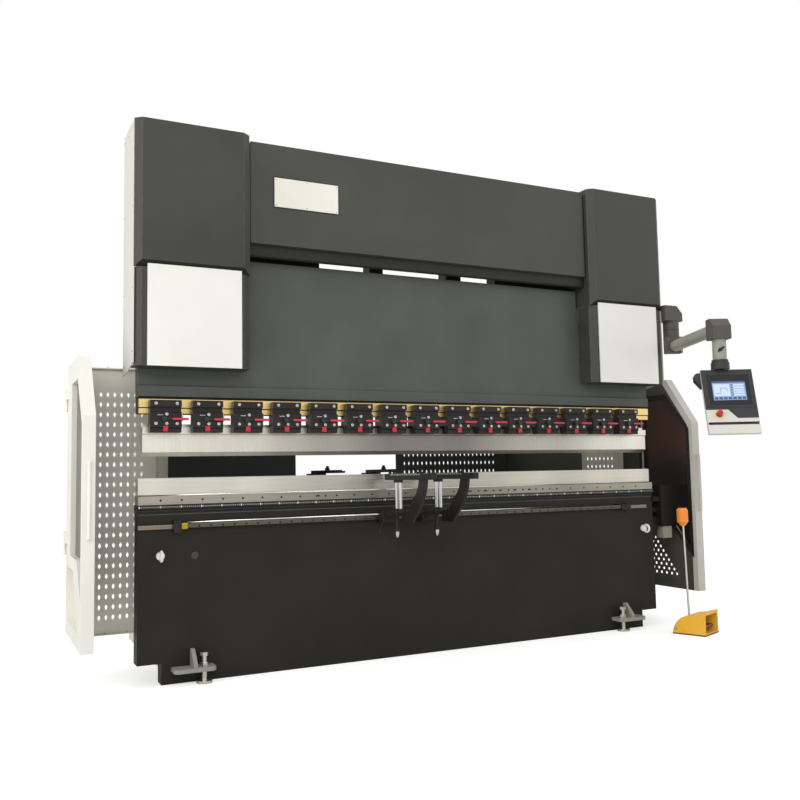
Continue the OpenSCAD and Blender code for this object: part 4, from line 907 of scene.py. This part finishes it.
def makeFixings(f):
    bolts, studs, pins = (bmesh.new() for _ in range(3))
    for x, y, z in f["housing"]:
        addScrew(studs, at(x, y, z), (0, -1, 0), 6, 4)
    for side in (-1, 1):
        for x in f["flangeXs"]:
            addScrew(bolts, at(side * x, f["flangeY"], f["flangeTop"]), (0, 0, 1), 7, 5, sides=6, recess=0)
            addScrew(bolts, at(side * x, f["flangeY"], f["flangeLow"]), (0, 0, 1), 7, 5, sides=6, recess=0)
        for y, z in f["sides"]:
            addScrew(pins, at(side * f["sideX"], y, z), (side, 0, 0), 5, 2.5)
    for x in f["rearGuard"]:
        for z in f["rearZs"]:
            addScrew(bolts, at(x, f["rearY"], z), (0, 1, 0), 7, 5, sides=6, recess=0)
    for x in f["tieXs"]:
        for z in f["tieZs"]:
            addScrew(studs, at(x, f["tieY"], z), (0, 1, 0), 11, 9, sides=6, recess=0)
    finishPiece("panelBolts", bolts, boltMetal, "machine")
    finishPiece("housingStuds", studs, blackMetal, "machine")
    finishPiece("coverPins", pins, boltMetal, "machine")


makeFixings(fixings)

# sloped sheets that close the upper covers underneath, along their front, in the darker bed paint as painted shade
# under the covers
bevels = {"inner": 1074, "front": (1109, 1610), "outer": 1645, "y": (-136, -108), "z": (2028, 1995), "thick": 4}


def makeBevels(b):
    bm = bmesh.new()
    (y0, y1), (z0, z1), t = b["y"], b["z"], b["thick"]
    for side in (-1, 1):
        outer = [(b["front"][0], y0, z0), (b["front"][1], y0, z0), (b["outer"] - 4.2, y1 - 1, z1), (b["inner"], y1, z1)]
        shell = [bm.verts.new(at(side * x, y, z)) for x, y, z in outer]
        inner = [bm.verts.new(at(side * x, y + t * 0.76, z + t * 0.65)) for x, y, z in outer]
        bm.faces.new(shell)
        bm.faces.new(inner[::-1])
        for i in range(4):
            j = (i + 1) % 4
            bm.faces.new((shell[i], inner[i], inner[j], shell[j]))
    finishPiece("coverBevels", bm, bedCoat, "machine")


makeBevels(bevels)

# pump set behind the crossbeam: fan cover, terminal box, mounting bolts
pumpDetails = {"x": -320, "y": 362, "z": 2536, "radius": 100, "shelfZ": 2420}


def makePumpDetails(d):
    cover, box, bolts = (bmesh.new() for _ in range(3))
    r = d["radius"]
    addTurned(cover, [(0, 1), (r - 4, 1), (r - 4, 34), (r - 12, 44), (20, 46), (18, 43), (0, 43)],
              at(d["x"], d["y"], d["z"]), (-1, 0, 0), 48)
    addSlab(box, at(d["x"] + 110, d["y"] - 45, d["z"] + r - 12), at(d["x"] + 220, d["y"] + 45, d["z"] + r + 42), 4, 2)
    addBar(box, at(d["x"] + 165, d["y"] + 40, d["z"] + r + 16), at(d["x"] + 165, d["y"] + 66, d["z"] + r + 16), 13, 20, 2)
    for x in (d["x"] - 20, d["x"] + 190):
        for y in (d["y"] - 50, d["y"] + 50):
            addScrew(bolts, at(x + 75, y, d["shelfZ"]), (0, 0, 1), 8, 6, sides=6, recess=0)
    for x, z in ((-48, 30), (48, 30), (-48, -30), (48, -30)):
        addScrew(bolts, at(d["x"] + 165 + x, d["y"] + x * 0.75, d["z"] + r + 42), (0, 0, 1), 4, 2)
    finishPiece("fanCover", cover, blackMetal, "machine")
    finishPiece("terminalBox", box, darkCoat, "machine")
    finishPiece("pumpBolts", bolts, boltMetal, "machine")


makePumpDetails(pumpDetails)
print("fixings and pump dressed")

# floor, backdrop colour and light
stageSettings = {
    "floorTone": (236, 236, 234), "floorGlow": 0.5, "worldLevel": 0.66, "frontLamp": 120, "rightLamp": 30,
    "leftLamp": 110, "topLamp": 90,
}


def whiteToEye(tree):
    # plain white where the camera, a reflection or a clear sheet looks at it
    path = addNode(tree, "LightPath")
    seen = useMath(tree, "MAXIMUM", path.outputs["Is Camera Ray"], path.outputs["Is Transmission Ray"])
    return useMath(tree, "MAXIMUM", seen, path.outputs["Is Glossy Ray"])


def makeStage(s):
    bm = bmesh.new()
    bmesh.ops.create_grid(bm, x_segments=4, y_segments=4, size=14)
    bmesh.ops.translate(bm, vec=(0, 0, -0.001), verts=bm.verts[:])
    mesh = bpy.data.meshes.new("floor")
    bm.to_mesh(mesh)
    bm.free()
    floor = bpy.data.objects.new("floor", mesh)
    scene.collection.objects.link(floor)
    finish, tree, shader = startFinish("paleFloor")
    mottle = placeGroup(tree, mottleGroup, **{"Patch Scale": 1, "Grain Scale": 80, "Grain Share": 0.3})
    low = tuple(c - 3 for c in s["floorTone"])
    tree.links.new(mixTones(tree, mottle.outputs["Mask"], shade(low), shade(s["floorTone"])), shader.inputs["Base Color"])
    shader.inputs["Roughness"].default_value = 0.9
    shader.inputs["Specular IOR Level"].default_value = 0.1
    glow = s["floorGlow"]
    path = addNode(tree, "LightPath")
    tree.links.new(mixTones(tree, path.outputs["Is Camera Ray"], (0, 0, 0, 1), (glow, glow, glow, 1)),
                   shader.inputs["Emission Color"])
    shader.inputs["Emission Strength"].default_value = 1.0
    mesh.materials.append(finish)
    world = bpy.data.worlds.new("softWorld")
    world.use_nodes = True
    scene.world = world
    tree = world.node_tree
    background = tree.nodes["Background"]
    background.inputs["Color"].default_value = (1, 1, 1, 1)
    seen = whiteToEye(tree)
    level = addNode(tree, "MapRange")
    level.inputs["To Min"].default_value = s["worldLevel"]
    level.inputs["To Max"].default_value = 1.0
    tree.links.new(seen, level.inputs["Value"])
    tree.links.new(level.outputs["Result"], background.inputs["Strength"])


def addLamp(name, place, target, size, power):
    data = bpy.data.lights.new(name, "AREA")
    data.shape = "RECTANGLE"
    data.size, data.size_y = size
    data.energy = power
    lamp = bpy.data.objects.new(name, data)
    lamp.matrix_world = Matrix.Translation(Vector(place)) @ turnTo(Vector(place) - Vector(target))
    scene.collection.objects.link(lamp)


makeStage(stageSettings)
addLamp("frontLamp", (-3.5, -6.5, 4.5), (0, 0, 1.2), (4, 3), stageSettings["frontLamp"])
addLamp("rightLamp", (5.5, -3.5, 3.5), (0.5, 0, 1.2), (3, 3), stageSettings["rightLamp"])
addLamp("leftLamp", (-6.5, -1.8, 3.0), (-1.6, 0, 1.3), (3, 3), stageSettings["leftLamp"])
addLamp("topLamp", (0, 0.5, 6.0), (0, 0, 1), (6, 4), stageSettings["topLamp"])
scene.view_settings.view_transform = "Standard"
print("stage and light")
